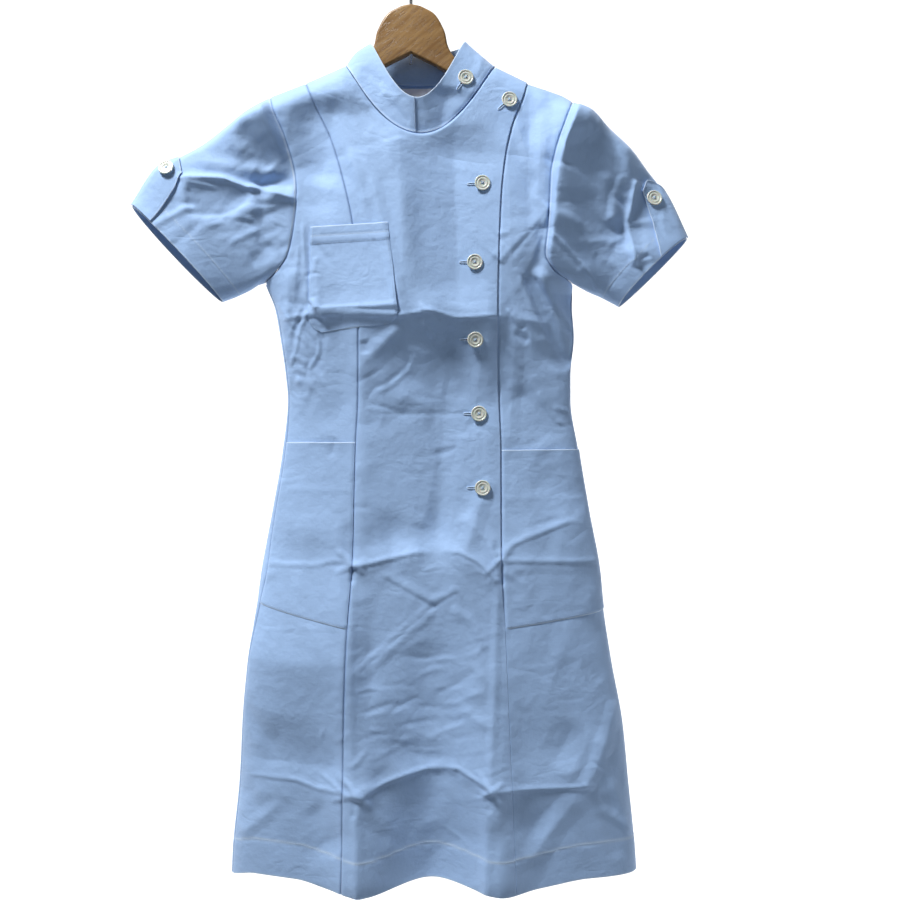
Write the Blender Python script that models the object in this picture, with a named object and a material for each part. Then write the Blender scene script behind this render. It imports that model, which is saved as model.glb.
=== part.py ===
"""Nurse uniform dress with a stand collar and a side-buttoned front, on a wooden hanger.

Lengths in the tables are millimetres. +Z is up, -Y is the front of the dress, +X is to the right of
somebody who looks at the front. The origin is the inside top of the hook, where the hanger bears.

The dress is a flattened tube of cloth. Every cut piece is a wall between two offsets of that one
surface, so that neighbours meet edge to edge and what lies on a panel follows it.
"""

from collections import namedtuple
from math import acos, copysign, cos, exp, hypot, pi, radians, sin, sqrt

import bmesh
import bpy
from mathutils import Vector

MM = 0.001

# Cloth
WALL = 1.5
SEAM_GAP = 0.3
LAYER_GAP = 0.5
LAYER = WALL + LAYER_GAP
UNDERLAP_SINK = 2.3

# Main heights of the dress
CHEST_LEVEL = -330.0
ARMPIT = -416.0
HEM_BLEND = -1045.0

# Flattened tube: x of both sides, and how far the front and the back stand off the middle plane
Section = namedtuple("Section", "z left right front back")
BODY = (
    Section(-150, -192, 214, 19, 18),
    Section(-200, -192, 214, 24, 21),
    Section(-260, -191, 212, 30, 24),
    Section(-330, -188, 210, 36, 27),
    Section(-380, -180, 203, 39, 28),
    Section(-416, -171.5, 191, 40, 29),
    Section(-446, -160, 190, 39, 29),
    Section(-479, -154, 192, 36, 28),
    Section(-524, -147.5, 188, 31, 26),
    Section(-553, -145, 188, 29, 25),
    Section(-612, -151, 197, 32, 28),
    Section(-683, -163, 209, 39, 32),
    Section(-754, -176, 222, 46, 36),
    Section(-790, -180.5, 225.5, 49, 38),
    Section(-860, -191, 236, 53, 42),
    Section(-931, -198, 249, 57, 46),
    Section(-1002, -202, 256, 60, 50),
    Section(-1073, -209, 263, 62, 54),
    Section(-1120, -211, 266, 63, 56),
)
ROUNDNESS = 2.4

# Top of the dress, where it hangs over the arms of the hanger
Knot = namedtuple("Knot", "x z")
SHOULDER_LINE = (
    Knot(-260, -238),
    Knot(-171, -200),
    Knot(-124, -181.5),
    Knot(-76.5, -160.5),
    Knot(99, -161),
    Knot(140, -181),
    Knot(178, -195.5),
    Knot(190, -203),
    Knot(280, -250),
)
SHOULDER_ROUND = 24.0
SHOULDER_START = 0.001

# Neckline: a notch between the two neck points
NECK_LEFT = -76.5
NECK_RIGHT = 99.0
FRONT_NECK_DROP = 84.0
FRONT_NECK_SHARPNESS = 2.1
BACK_NECK_DROP = 17.0
BACK_NECK_SHARPNESS = 1.2

# Hem, as seen from the front and from the back
HEM = (
    Knot(-212, -1107),
    Knot(-178, -1099),
    Knot(-130, -1101),
    Knot(-95, -1108),
    Knot(-56, -1113),
    Knot(25, -1100),
    Knot(106, -1113),
    Knot(150, -1109),
    Knot(205, -1102),
    Knot(267, -1103),
)

# Seams that cross the front, from the shoulder down
PRINCESS_SEAM = (
    Knot(-123.5, -181.3),
    Knot(-110, -214),
    Knot(-93, -250),
    Knot(-78, -298),
    Knot(-67, -346),
    Knot(-58.5, -416),
    Knot(-59.5, -476),
    Knot(-60.5, -553),
    Knot(-63.5, -612),
    Knot(-66, -740),
    Knot(-71, -816),
    Knot(-73, -880),
    Knot(-75, -960),
    Knot(-76.5, -1120),
)
OVERLAP_EDGE = (
    Knot(137, -179.5),
    Knot(131, -200),
    Knot(118.5, -232),
    Knot(110.5, -265),
    Knot(104.5, -318),
    Knot(101.5, -392),
    Knot(100.5, -450),
    Knot(101, -510),
    Knot(103.5, -580),
    Knot(104.5, -612),
    Knot(104.5, -740),
    Knot(109, -812),
    Knot(114, -930),
    Knot(121, -1120),
)
UNDERLAP_EDGE = (
    Knot(101.5, -162),
    Knot(99.5, -187),
    Knot(92, -218),
    Knot(80, -262),
    Knot(68, -330),
    Knot(62, -450),
    Knot(64, -700),
)
UNDERLAP_TAPER = (-700.0, -752.0)
SINK_FADE = (-752.0, -820.0)

# Armholes, from the shoulder down to the armpit
ARMHOLE_LEFT_FRONT = (
    Knot(-165, -197.4),
    Knot(-157, -222),
    Knot(-145, -250),
    Knot(-133.5, -296),
    Knot(-132, -318),
    Knot(-135, -352),
    Knot(-143, -387),
    Knot(-156, -404),
    Knot(-170.5, -416),
)
ARMHOLE_LEFT_BACK = (
    Knot(-165, -197.4),
    Knot(-155, -240),
    Knot(-147, -290),
    Knot(-146, -340),
    Knot(-152, -380),
    Knot(-162, -402),
    Knot(-171.2, -416),
)
ARMHOLE_RIGHT_FRONT = (
    Knot(190, -203),
    Knot(179, -232),
    Knot(168, -264),
    Knot(162, -293),
    Knot(160.5, -325),
    Knot(158.5, -358),
    Knot(156, -384),
    Knot(165, -402),
    Knot(189, -416),
)
ARMHOLE_RIGHT_BACK = (
    Knot(190, -203),
    Knot(180, -240),
    Knot(173, -290),
    Knot(171, -340),
    Knot(174, -380),
    Knot(182, -403),
    Knot(190.5, -416),
)

# Side seams below the armpit, as angles round the tube: 0 is the left fold, 180 the right one
Turn = namedtuple("Turn", "z angle")
SIDE_SEAM_LEFT = (
    Turn(-416, 6),
    Turn(-470, 11),
    Turn(-553, 9),
    Turn(-612, 14),
    Turn(-690, 15),
    Turn(-754, 19),
    Turn(-790, 15),
    Turn(-860, 10),
    Turn(-1120, 9),
)
SIDE_SEAM_RIGHT = (
    Turn(-416, 175),
    Turn(-470, 182),
    Turn(-553, 184),
    Turn(-1120, 185),
)

# Largest folds: soft ridges (positive) and troughs along straight lines across the front or the back
Fold = namedtuple("Fold", "x0 z0 x1 z1 width height0 height1")
FRONT_FOLDS = (
    Fold(-64, -840, -56, -1130, 32, 1, 27),
    Fold(86, -830, 106, -1130, 28, 1, 25),
    Fold(25, -780, 25, -1130, 36, -2, -19),
    Fold(-5, -300, -8, -460, 15, 3, 2),
    Fold(150, -405, 192, -500, 9, 5, 3),
    Fold(136, -398, 190, -540, 9, -5, -2),
    Fold(-137, -400, -150, -500, 9, 4, 3),
    Fold(-270, -300, -150, -312, 15, -9, -5),
    Fold(-250, -274, -160, -292, 10, 4, 3),
    Fold(-255, -340, -165, -326, 12, 4, 3),
    Fold(205, -245, 245, -330, 18, -5, -4),
    Fold(234, -290, 240, -350, 9, 4, 4),
    Fold(165, -345, 220, -415, 9, 4, 3),
)
BACK_FOLDS = (
    Fold(-70, -780, -82, -1130, 34, 1, 17),
    Fold(112, -800, 128, -1130, 34, 1, 18),
    Fold(20, -760, 24, -1130, 36, -1, -11),
    Fold(20, -330, 12, -560, 22, 3, 4),
    Fold(-110, -400, -60, -560, 14, 3, 2),
    Fold(140, -400, 100, -560, 14, 3, 2),
    Fold(-260, -330, -160, -350, 14, -5, -4),
    Fold(215, -300, 245, -370, 14, -5, -4),
)
BODY_FOLD_FADE = 0.6
SLEEVE_FOLD_FADE = 0.7

# Sleeves: crown and underarm lines in the front view, half depths, and the bow of both hem edges
Ring = namedtuple("Ring", "share crown_x crown_z under_x under_z front back front_bow back_bow")
SLEEVE_LEFT = (
    Ring(0.00, -165, -197.4, -171, -416, 24, 20, 0, 0),
    Ring(0.18, -190, -210.5, -180, -418.5, 24, 20, 0, 0),
    Ring(0.36, -218, -232, -189, -424, 23, 20, -1, 1),
    Ring(0.54, -246.5, -253.5, -199, -428.5, 23, 20, -2, 3),
    Ring(0.70, -272, -267, -208, -432, 23, 20, -3, 4),
    Ring(0.84, -297, -279, -215, -434.5, 23, 21, -4, 5),
    Ring(1.00, -329, -325.5, -222.5, -437, 24, 22, -5, 6),
)
SLEEVE_RIGHT = (
    Ring(0.00, 190, -203, 189.5, -416, 24, 20, 0, 0),
    Ring(0.18, 211, -210.5, 199.5, -422, 24, 20, 0, 0),
    Ring(0.36, 235, -234, 211, -427.5, 23, 20, -2, 0),
    Ring(0.54, 261, -258.5, 223, -432, 23, 20, -4, 1),
    Ring(0.70, 279, -283, 231, -435.5, 23, 20, -5, 1),
    Ring(0.84, 301, -313, 238, -439, 24, 21, -6, 2),
    Ring(1.00, 325.5, -364.5, 245.5, -443, 25, 22, -7, 3),
)
SLEEVE_ROWS = (0.0, 0.09, 0.18, 0.36, 0.54, 0.70, 0.84, 1.0)
SLEEVE_FLATNESS = 0.8
SLEEVE_DRAW = 0.75
BODY_FOLLOW = 0.09
SEAM_CLEAR = 0.36
SEAM_CLEAR_FADE = 0.3

# Collar, standing on the neckline
COLLAR_TOP_LEFT = Knot(-47.5, -133.5)
COLLAR_TOP_RIGHT = Knot(64, -131)
COLLAR_FRONT_DROP = 72.0
COLLAR_FRONT_SHARPNESS = 2.4
COLLAR_BACK_DROP = 7.0
COLLAR_TOP_FRONT = 33.0
COLLAR_TOP_BACK = 24.0
COLLAR_BULGE = 4.0
COLLAR_SPLIT = 90.0
COLLAR_TUCK = 12.0
COLLAR_END = -210.0
COLLAR_END_FADE = (-180.0, -150.0)
COLLAR_TUCK_FADE = (1.0, 14.0)
COLLAR_RISES = (0.0, 0.35, 0.7, 1.0)
COLLAR_BUTTON = dict(turn=138.0, rise=0.46)

# Pockets
Corner = namedtuple("Corner", "x z")
CHEST_POCKET_TOP = (Corner(-114.5, -354.5), Corner(-25.5, -351))
CHEST_POCKET_BOTTOM = (Corner(-119, -476), Corner(-10.5, -468))
CHEST_POCKET_CORNER = 22.0
RIGHT_HIP_POCKET = dict(mouth=(-603, -603), foot=(-790, -816))
LEFT_HIP_POCKET = dict(mouth=(-612, -611), foot=(-817, -797))
CHEST_POCKET_COLUMNS = 8
CHEST_POCKET_ROWS = (0.0, 0.19, 0.36, 0.53, 0.7, 0.8, 0.88, 0.95, 1.0)
HIP_POCKET_COLUMNS = 4
HIP_POCKET_ROWS = 5

# Neck label, inside the back
LABEL_SPAN = (-20.0, 34.0)
LABEL_TOP = -180.5
LABEL_HEIGHT = 20.0
LABEL_WALL = 1.0
LABEL_COLUMNS = 4

# Sleeve tabs, in the sleeve's own shares: along it (0 at the armhole, 1 at the hem), and as a turn round
# it from the underarm (0) to the crown (0.5). The tip has an inner corner, a peak and an outer corner.
Tab = namedtuple("Tab", "hem_inner tip_inner bow inner_share peak_across peak_share outer_share")
TAB_GAP = 1.0
TAB_HEM = 0.995
TAB_OUTER = 0.497
TAB_RIGHT = Tab(0.345, 0.38, 0.02, 0.725, 0.6, 0.70, 0.85)
TAB_LEFT = Tab(0.29, 0.364, 0.0, 0.715, 0.34, 0.715, 0.83)
TAB_RIGHT_BUTTON = dict(share=0.805, turn=0.418)
TAB_LEFT_BUTTON = dict(share=0.80, turn=0.384)
TAB_COLUMNS = (2, 3)
TAB_ROWS = 6

# Buttons: one turned profile, radius and height above the cloth
BUTTON_RADIUS = 9.2
BUTTON_PROFILE = (
    (0.0, 2.0),
    (5.4, 2.0),
    (6.4, 2.9),
    (8.2, 2.9),
    (9.2, 1.9),
    (8.6, 0.9),
    (0.0, 0.0),
)
BUTTON_SIDES = 18
BUTTON_SINK = 0.4
FRONT_BUTTONS = (
    ("button_shoulder", Knot(115, -205)),
    ("button_front_1", Knot(83.5, -303)),
    ("button_front_2", Knot(74.5, -395.5)),
    ("button_front_3", Knot(75, -485)),
    ("button_front_4", Knot(79.5, -570)),
    ("button_front_5", Knot(83.5, -656)),
)

# Hanger
WOOD_THICKNESS = 12.0
WOOD_EDGE = 3.0
WOOD_OUTLINE = (
    Knot(0, -87),
    Knot(9, -88.6),
    Knot(18, -92.5),
    Knot(26, -97),
    Knot(31, -102.5),
    Knot(36, -111),
    Knot(40.5, -121.5),
    Knot(43, -134),
    Knot(48, -145),
    Knot(58, -156),
    Knot(71, -165),
    Knot(86, -171),
    Knot(124, -186.4),
    Knot(156, -199.2),
    Knot(164, -204.5),
    Knot(167, -211),
    Knot(163, -217.5),
    Knot(155, -218),
    Knot(124, -206),
    Knot(78, -186),
    Knot(50, -171.5),
    Knot(25, -157.5),
    Knot(0, -145),
)
HOOK_WIRE = 4.0
HOOK_RADIUS = 21.0
HOOK_TIP = 205.0
HOOK_LEAVE = -52.0
HOOK_BORE = 4.7
HOOK_STEPS = 28
HOOK_BEND_STEPS = 8
HOOK_BEND_LEAVE = 16.5
HOOK_BEND_STEM = 16.0
BORE_SIDES = 16
BORE_SPARE = 40.0
STEM_TOP = -66.0
STEM_END = -157.0

# Meshes: distance at which points are merged, in metres, and angles that stay sharp
MERGE = 0.00001
WALL_SHARP = 50.0
BUTTON_SHARP = 35.0

Look = namedtuple("Look", "colour roughness metallic")
LOOKS = {
    "cloth": Look((0.38, 0.52, 0.74), 0.8, 0.0),
    "label": Look((0.86, 0.86, 0.86), 0.8, 0.0),
    "button": Look((0.72, 0.74, 0.68), 0.35, 0.0),
    "wood": Look((0.45, 0.27, 0.12), 0.5, 0.0),
    "steel": Look((0.60, 0.60, 0.62), 0.3, 1.0),
}


def mix(start, end, share):
    """Value or vector between two others."""
    return start + (end - start) * share


def limit(value, low=0.0, high=1.0):
    """Value held between two ends."""
    return max(low, min(high, value))


def ease(value, start, end):
    """0 before start and 1 after end, with a soft change between them."""
    share = limit((value - start) / (end - start))
    return share * share * (3.0 - 2.0 * share)


def read(table, key, column, at):
    """Read a column of a table at a key, along a smooth curve through its rows."""
    rows = sorted(table, key=lambda row: getattr(row, key))
    keys = [getattr(row, key) for row in rows]
    values = [getattr(row, column) for row in rows]
    at = limit(at, keys[0], keys[-1])
    index = max(i for i in range(len(keys) - 1) if keys[i] <= at)
    steps = [(values[i + 1] - values[i]) / (keys[i + 1] - keys[i]) for i in range(len(keys) - 1)]

    def slope(i):
        if i in (0, len(keys) - 1) or steps[i - 1] * steps[i] <= 0.0:
            return 0.0 if 0 < i < len(keys) - 1 else steps[limit(i, 0, len(steps) - 1)]
        return 2.0 * steps[i - 1] * steps[i] / (steps[i - 1] + steps[i])

    width = keys[index + 1] - keys[index]
    t = (at - keys[index]) / width
    rise = values[index + 1] - values[index]
    bend_in = slope(index) * width - rise
    bend_out = rise - slope(index + 1) * width
    return values[index] + rise * t + t * (1.0 - t) * ((1.0 - t) * bend_in + t * bend_out)


def shoulder(x):
    """Height of the shoulder line, bridged over the neck."""
    knots = SHOULDER_LINE
    index = max(i for i in range(len(knots) - 1) if knots[i].x <= x or i == 0)
    before, after = knots[index], knots[index + 1]
    return mix(before.z, after.z, (x - before.x) / (after.x - before.x))


def neck_sine(x):
    """1 in the middle of the neck, 0 at and beyond both neck points."""
    middle, half = mix(NECK_LEFT, NECK_RIGHT, 0.5), (NECK_RIGHT - NECK_LEFT) / 2.0
    return sqrt(max(0.0, 1.0 - ((x - middle) / half) ** 2))


def front_top(x):
    """Upper edge of the front: shoulder, neckline, shoulder."""
    return shoulder(x) - SHOULDER_START - FRONT_NECK_DROP * neck_sine(x) ** FRONT_NECK_SHARPNESS


def back_top(x):
    """Upper edge of the back."""
    return shoulder(x) - SHOULDER_START - BACK_NECK_DROP * neck_sine(x) ** BACK_NECK_SHARPNESS


def hem(x):
    """Height of the hem."""
    return read(HEM, "x", "z", x)


def fold_height(folds, x, z):
    """Sum of the folds at a place in the front view."""
    total = 0.0
    for fold in folds:
        run_x, run_z = fold.x1 - fold.x0, fold.z1 - fold.z0
        length = hypot(run_x, run_z)
        along = ((x - fold.x0) * run_x + (z - fold.z0) * run_z) / length
        across = ((x - fold.x0) * run_z - (z - fold.z0) * run_x) / length
        share = along / length
        fade = ease(share, -0.12, 0.15) * (1.0 - ease(share, 0.88, 1.12))
        height = mix(fold.height0, fold.height1, limit(share))
        total += height * fade * exp(-((across / fold.width) ** 2))
    return total


def tube_middle_half(z):
    """Middle and half width of the tube at a height."""
    left, right = read(BODY, "z", "left", z), read(BODY, "z", "right", z)
    return (left + right) / 2.0, (right - left) / 2.0


def tube_angle(x, z, behind=False):
    """Angle round the tube of a place seen in the front view, negative on the back."""
    middle, half = tube_middle_half(z)
    across = limit((x - middle) / half, -1.0, 1.0)
    turn = acos(-copysign(abs(across) ** (ROUNDNESS / 2.0), across)) * 180.0 / pi
    return -turn if behind else turn


def tube_point(angle, z):
    """Outer face of the dress: a flattened round section with the shoulders' arch and the folds."""
    middle, half = tube_middle_half(z)
    across, out = -cos(radians(angle)), sin(radians(angle))
    x = middle + half * copysign(abs(across) ** (2.0 / ROUNDNESS), across)
    profile = abs(out) ** (2.0 / ROUNDNESS)
    below = limit((shoulder(x) - z) / SHOULDER_ROUND)
    arch = sqrt(1.0 - (1.0 - below) ** 2)
    if out >= 0.0:
        depth = read(BODY, "z", "front", z)
        folds = fold_height(FRONT_FOLDS, x, z) * ease(profile, 0.0, BODY_FOLD_FADE)
        return Vector((x, -(depth * profile + folds) * arch, z))
    depth = read(BODY, "z", "back", z)
    folds = fold_height(BACK_FOLDS, x, z) * ease(profile, 0.0, BODY_FOLD_FADE)
    return Vector((x, (depth * profile + folds) * arch, z))


def tube_normal(angle, z):
    """Direction out of the dress."""
    around = tube_point(angle + 0.4, z) - tube_point(angle - 0.4, z)
    down = tube_point(angle, z - 0.4) - tube_point(angle, z)
    return down.cross(around).normalized()


def tube_offset(angle, z, out):
    """Place on the dress, moved out of its outer face."""
    return tube_point(angle, z) + tube_normal(angle, z) * out


class Row:
    """A line across a panel, between its upper edge, a level and the hem."""

    def __init__(self, top=0.0, level=0.0, low=0.0):
        self.top = top
        self.level = level
        self.low = low

    def height(self, x, top_edge):
        """Height of the line at x."""
        level = (1.0 - self.top - self.low) * self.level
        return self.top * top_edge(x) + level + self.low * hem(x)


TOP_SHARES = (1.0, 0.978, 0.93, 0.85, 0.70, 0.46, 0.22)
LEVELS = (CHEST_LEVEL, -353, -375, -396, ARMPIT, -446, -479, -515, -553, -605, -660, -712, -764, -816,
          -872, -930, -988, HEM_BLEND)
ROWS = (
    [Row(top=share, level=CHEST_LEVEL) for share in TOP_SHARES]
    + [Row(level=level) for level in LEVELS]
    + [Row(level=HEM_BLEND, low=1.0)]
)
ARMPIT_ROW = len(TOP_SHARES) + LEVELS.index(ARMPIT)


def angle_step(angle, z, distance):
    """Turn that moves a place by a distance round the tube."""
    return distance / (tube_point(angle + 0.2, z) - tube_point(angle - 0.2, z)).length * 0.4


def seam_angle(table, z, side, behind=False):
    """Angle of a seam drawn in the front view, moved sideways by a distance."""
    angle = tube_angle(read(table, "z", "x", z), z, behind)
    return angle + angle_step(angle, z, side)


def side_angle(armhole, side_seam, z, side, behind=False):
    """Angle of a panel's outer edge: the armhole, then the side seam below the armpit."""
    if z > ARMPIT:
        return tube_angle(read(armhole, "z", "x", z), z, behind)
    angle = read(side_seam, "z", "angle", z)
    return angle + angle_step(angle, z, side)


HALF_GAP = SEAM_GAP / 2.0


def left_side_edge(z):
    """Outer edge of the front, left in the front view."""
    return side_angle(ARMHOLE_LEFT_FRONT, SIDE_SEAM_LEFT, z, HALF_GAP)


def right_side_edge(z):
    """Outer edge of the front, right in the front view."""
    return side_angle(ARMHOLE_RIGHT_FRONT, SIDE_SEAM_RIGHT, z, -HALF_GAP)


def back_left_edge(z):
    """Outer edge of the back, left in the front view."""
    return side_angle(ARMHOLE_LEFT_BACK, SIDE_SEAM_LEFT, z, -HALF_GAP, behind=True)


def back_right_edge(z):
    """Outer edge of the back, right in the front view, counted backwards round the tube."""
    angle = side_angle(ARMHOLE_RIGHT_BACK, SIDE_SEAM_RIGHT, z, HALF_GAP, behind=True)
    return angle - 360.0 if angle > 0.0 else angle


def underlap_edge(z):
    """Left edge of the left side front: under the overlap, then along its seam."""
    hidden = seam_angle(UNDERLAP_EDGE, z, 0.0)
    seam = seam_angle(OVERLAP_EDGE, z, HALF_GAP)
    return mix(hidden, seam, 1.0 - ease(z, UNDERLAP_TAPER[1], UNDERLAP_TAPER[0]))


def panel_place(column, top_edge, row):
    """Angle and height where a column of a panel crosses one of its lines."""
    z = row.level
    angle = 0.0
    for _ in range(8):
        angle = column(z)
        z = row.height(tube_point(angle, z).x, top_edge)
    return angle, z


def between(left_edge, right_edge, share):
    """Column of a panel at a share between two edges."""
    return lambda z: mix(left_edge(z), right_edge(z), share)


def columns_between(left_edge, right_edge, shares):
    """Columns of a panel at several shares between two edges."""
    return [between(left_edge, right_edge, share) for share in shares]


def columns_from_top(left_edge, right_edge, top_edge, places):
    """Columns that start from given places along a panel's upper edge."""
    shares = []
    for x in places:
        z = top_edge(x)
        start, end = left_edge(z), right_edge(z)
        angle = tube_angle(x, z, behind=top_edge is back_top)
        shares.append(limit((angle - start) / (end - start)))
    return columns_between(left_edge, right_edge, [0.0] + shares[1:-1] + [1.0])


def spread(start, end, count):
    """Evenly spaced places, without the last one."""
    return [mix(start, end, index / count) for index in range(count)]


def round_spread(start, end, count):
    """Places as on a half circle, closer together at both ends, without the last one."""
    return [mix(start, end, (1.0 - cos(pi * index / count)) / 2.0) for index in range(count)]


def front_left_edge(z):
    """Centre front's edge at the princess seam."""
    return seam_angle(PRINCESS_SEAM, z, HALF_GAP)


def front_right_edge(z):
    """Centre front's edge: the overlap, then the seam below it."""
    return seam_angle(OVERLAP_EDGE, z, -HALF_GAP)


def side_princess_edge(z):
    """Right side front's edge at the princess seam."""
    return seam_angle(PRINCESS_SEAM, z, -HALF_GAP)


def fold_column(offset):
    """Column of the left side front at an angle before its outer edge, where the cloth turns."""

    def angle(z):
        outer = right_side_edge(z)
        return outer - offset * limit((outer - underlap_edge(z)) / FOLD_ROOM)

    return angle


SIDE_COLUMNS = 7
UNDERLAP_COLUMNS = 7
FOLD_OFFSETS = (42.0, 30.0, 20.0, 11.0, 5.0, 0.0)
FOLD_ROOM = 80.0
SINK_ROOM = 12.0
FRONT_NECK_PLACES = round_spread(NECK_LEFT, NECK_RIGHT, 12) + [NECK_RIGHT]
BACK_NECK_PLACES = round_spread(NECK_LEFT, NECK_RIGHT, 8) + [NECK_RIGHT]
FRONT_PLACES = spread(PRINCESS_SEAM[0].x, NECK_LEFT, 3) + FRONT_NECK_PLACES[:-1]
FRONT_PLACES += spread(NECK_RIGHT, OVERLAP_EDGE[0].x, 2) + [OVERLAP_EDGE[0].x]
BACK_PLACES = spread(ARMHOLE_LEFT_BACK[0].x, NECK_LEFT, 5) + BACK_NECK_PLACES[:-1]
BACK_PLACES += spread(NECK_RIGHT, ARMHOLE_RIGHT_BACK[0].x, 5) + [ARMHOLE_RIGHT_BACK[0].x]


def material_for(name):
    """Principled material of one kind, made once."""
    if name in bpy.data.materials:
        return bpy.data.materials[name]
    look = LOOKS[name]
    material = bpy.data.materials.new(name)
    material.use_nodes = True
    shader = material.node_tree.nodes["Principled BSDF"]
    shader.inputs["Base Color"].default_value = (*look.colour, 1.0)
    shader.inputs["Roughness"].default_value = look.roughness
    shader.inputs["Metallic"].default_value = look.metallic
    return material


def add_object(name, data, look, collection):
    """Link an object for a mesh or a curve, with its material."""
    obj = bpy.data.objects.new(name, data)
    if not data.materials:
        data.materials.append(material_for(look))
    collection.objects.link(obj)
    return obj


def add_wall(name, place, columns, rows, look, collection):
    """Closed wall between two sheets: place(column, row, inner) gives a point of either sheet."""
    bm = bmesh.new()
    for inner in (False, True):
        sheet = bmesh.ops.create_grid(bm, x_segments=len(columns) - 1, y_segments=len(rows) - 1, size=1.0)
        for index, vert in enumerate(sheet["verts"]):
            row, column = divmod(index, len(columns))
            vert.co = place(columns[column], rows[row], inner) * MM
    rims = [edge for edge in bm.edges if edge.is_boundary]
    bmesh.ops.bridge_loops(bm, edges=rims)
    bmesh.ops.recalc_face_normals(bm, faces=bm.faces)
    mesh = bpy.data.meshes.new(name)
    bm.to_mesh(mesh)
    bm.free()
    mesh.shade_smooth()
    mesh.set_sharp_from_angle(angle=radians(WALL_SHARP))
    return add_object(name, mesh, look, collection)


def sink_under_overlap(angle, z):
    """How far the left side front lies under the overlap's level, fading out at its side and below."""
    edge = seam_angle(OVERLAP_EDGE, z, 0.0)
    outer = right_side_edge(z)
    aside = 1.0 - ease(angle, edge, outer - SINK_ROOM)
    return UNDERLAP_SINK * aside * ease(z, SINK_FADE[1], SINK_FADE[0])


def no_sink(_angle, _z):
    """Level of the panels that nothing covers."""
    return 0.0


def add_panel(name, columns, top_edge, sink, collection):
    """One cut piece of the body."""
    facing = 1.0 if top_edge is back_top else -1.0

    def place(column, row, inner):
        angle, z = panel_place(column, top_edge, row)
        point = tube_offset(angle, z, -sink(angle, z) - (WALL if inner else 0.0))
        if row is ROWS[0]:
            point.y = facing * max(facing * point.y, HALF_GAP)
        return point

    return add_wall(name, place, columns, ROWS, "cloth", collection)


def even(count):
    """Evenly spaced shares from 0 to 1."""
    return spread(0.0, 1.0, count) + [1.0]


def add_body(collection):
    """Centre front, side fronts and back."""
    columns = columns_from_top(front_left_edge, front_right_edge, front_top, FRONT_PLACES)
    add_panel("front_overlap", columns, front_top, no_sink, collection)
    columns = columns_between(left_side_edge, side_princess_edge, even(SIDE_COLUMNS))
    add_panel("right_side_front", columns, front_top, no_sink, collection)
    columns = columns_between(underlap_edge, fold_column(FOLD_OFFSETS[0]), even(UNDERLAP_COLUMNS)[:-1])
    columns += [fold_column(offset) for offset in FOLD_OFFSETS]
    add_panel("left_side_front", columns, front_top, sink_under_overlap, collection)
    columns = columns_from_top(back_left_edge, back_right_edge, back_top, BACK_PLACES)
    add_panel("back", columns, back_top, no_sink, collection)


def armhole_ring(front_edge, back_edge, centre_top):
    """Points and normals of an armhole, from the armpit up the front and down the back."""
    rows = ROWS[1:ARMPIT_ROW + 1]
    ring = []
    for row in reversed(rows):
        angle, z = panel_place(front_edge, front_top, row)
        ring.append((tube_point(angle, z), tube_normal(angle, z)))
    ring.append((Vector((centre_top.x, 0.0, centre_top.z)), Vector((0.0, 0.0, 1.0))))
    for row in rows:
        angle, z = panel_place(back_edge, back_top, row)
        ring.append((tube_point(angle, z), tube_normal(angle, z)))
    return ring


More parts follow.
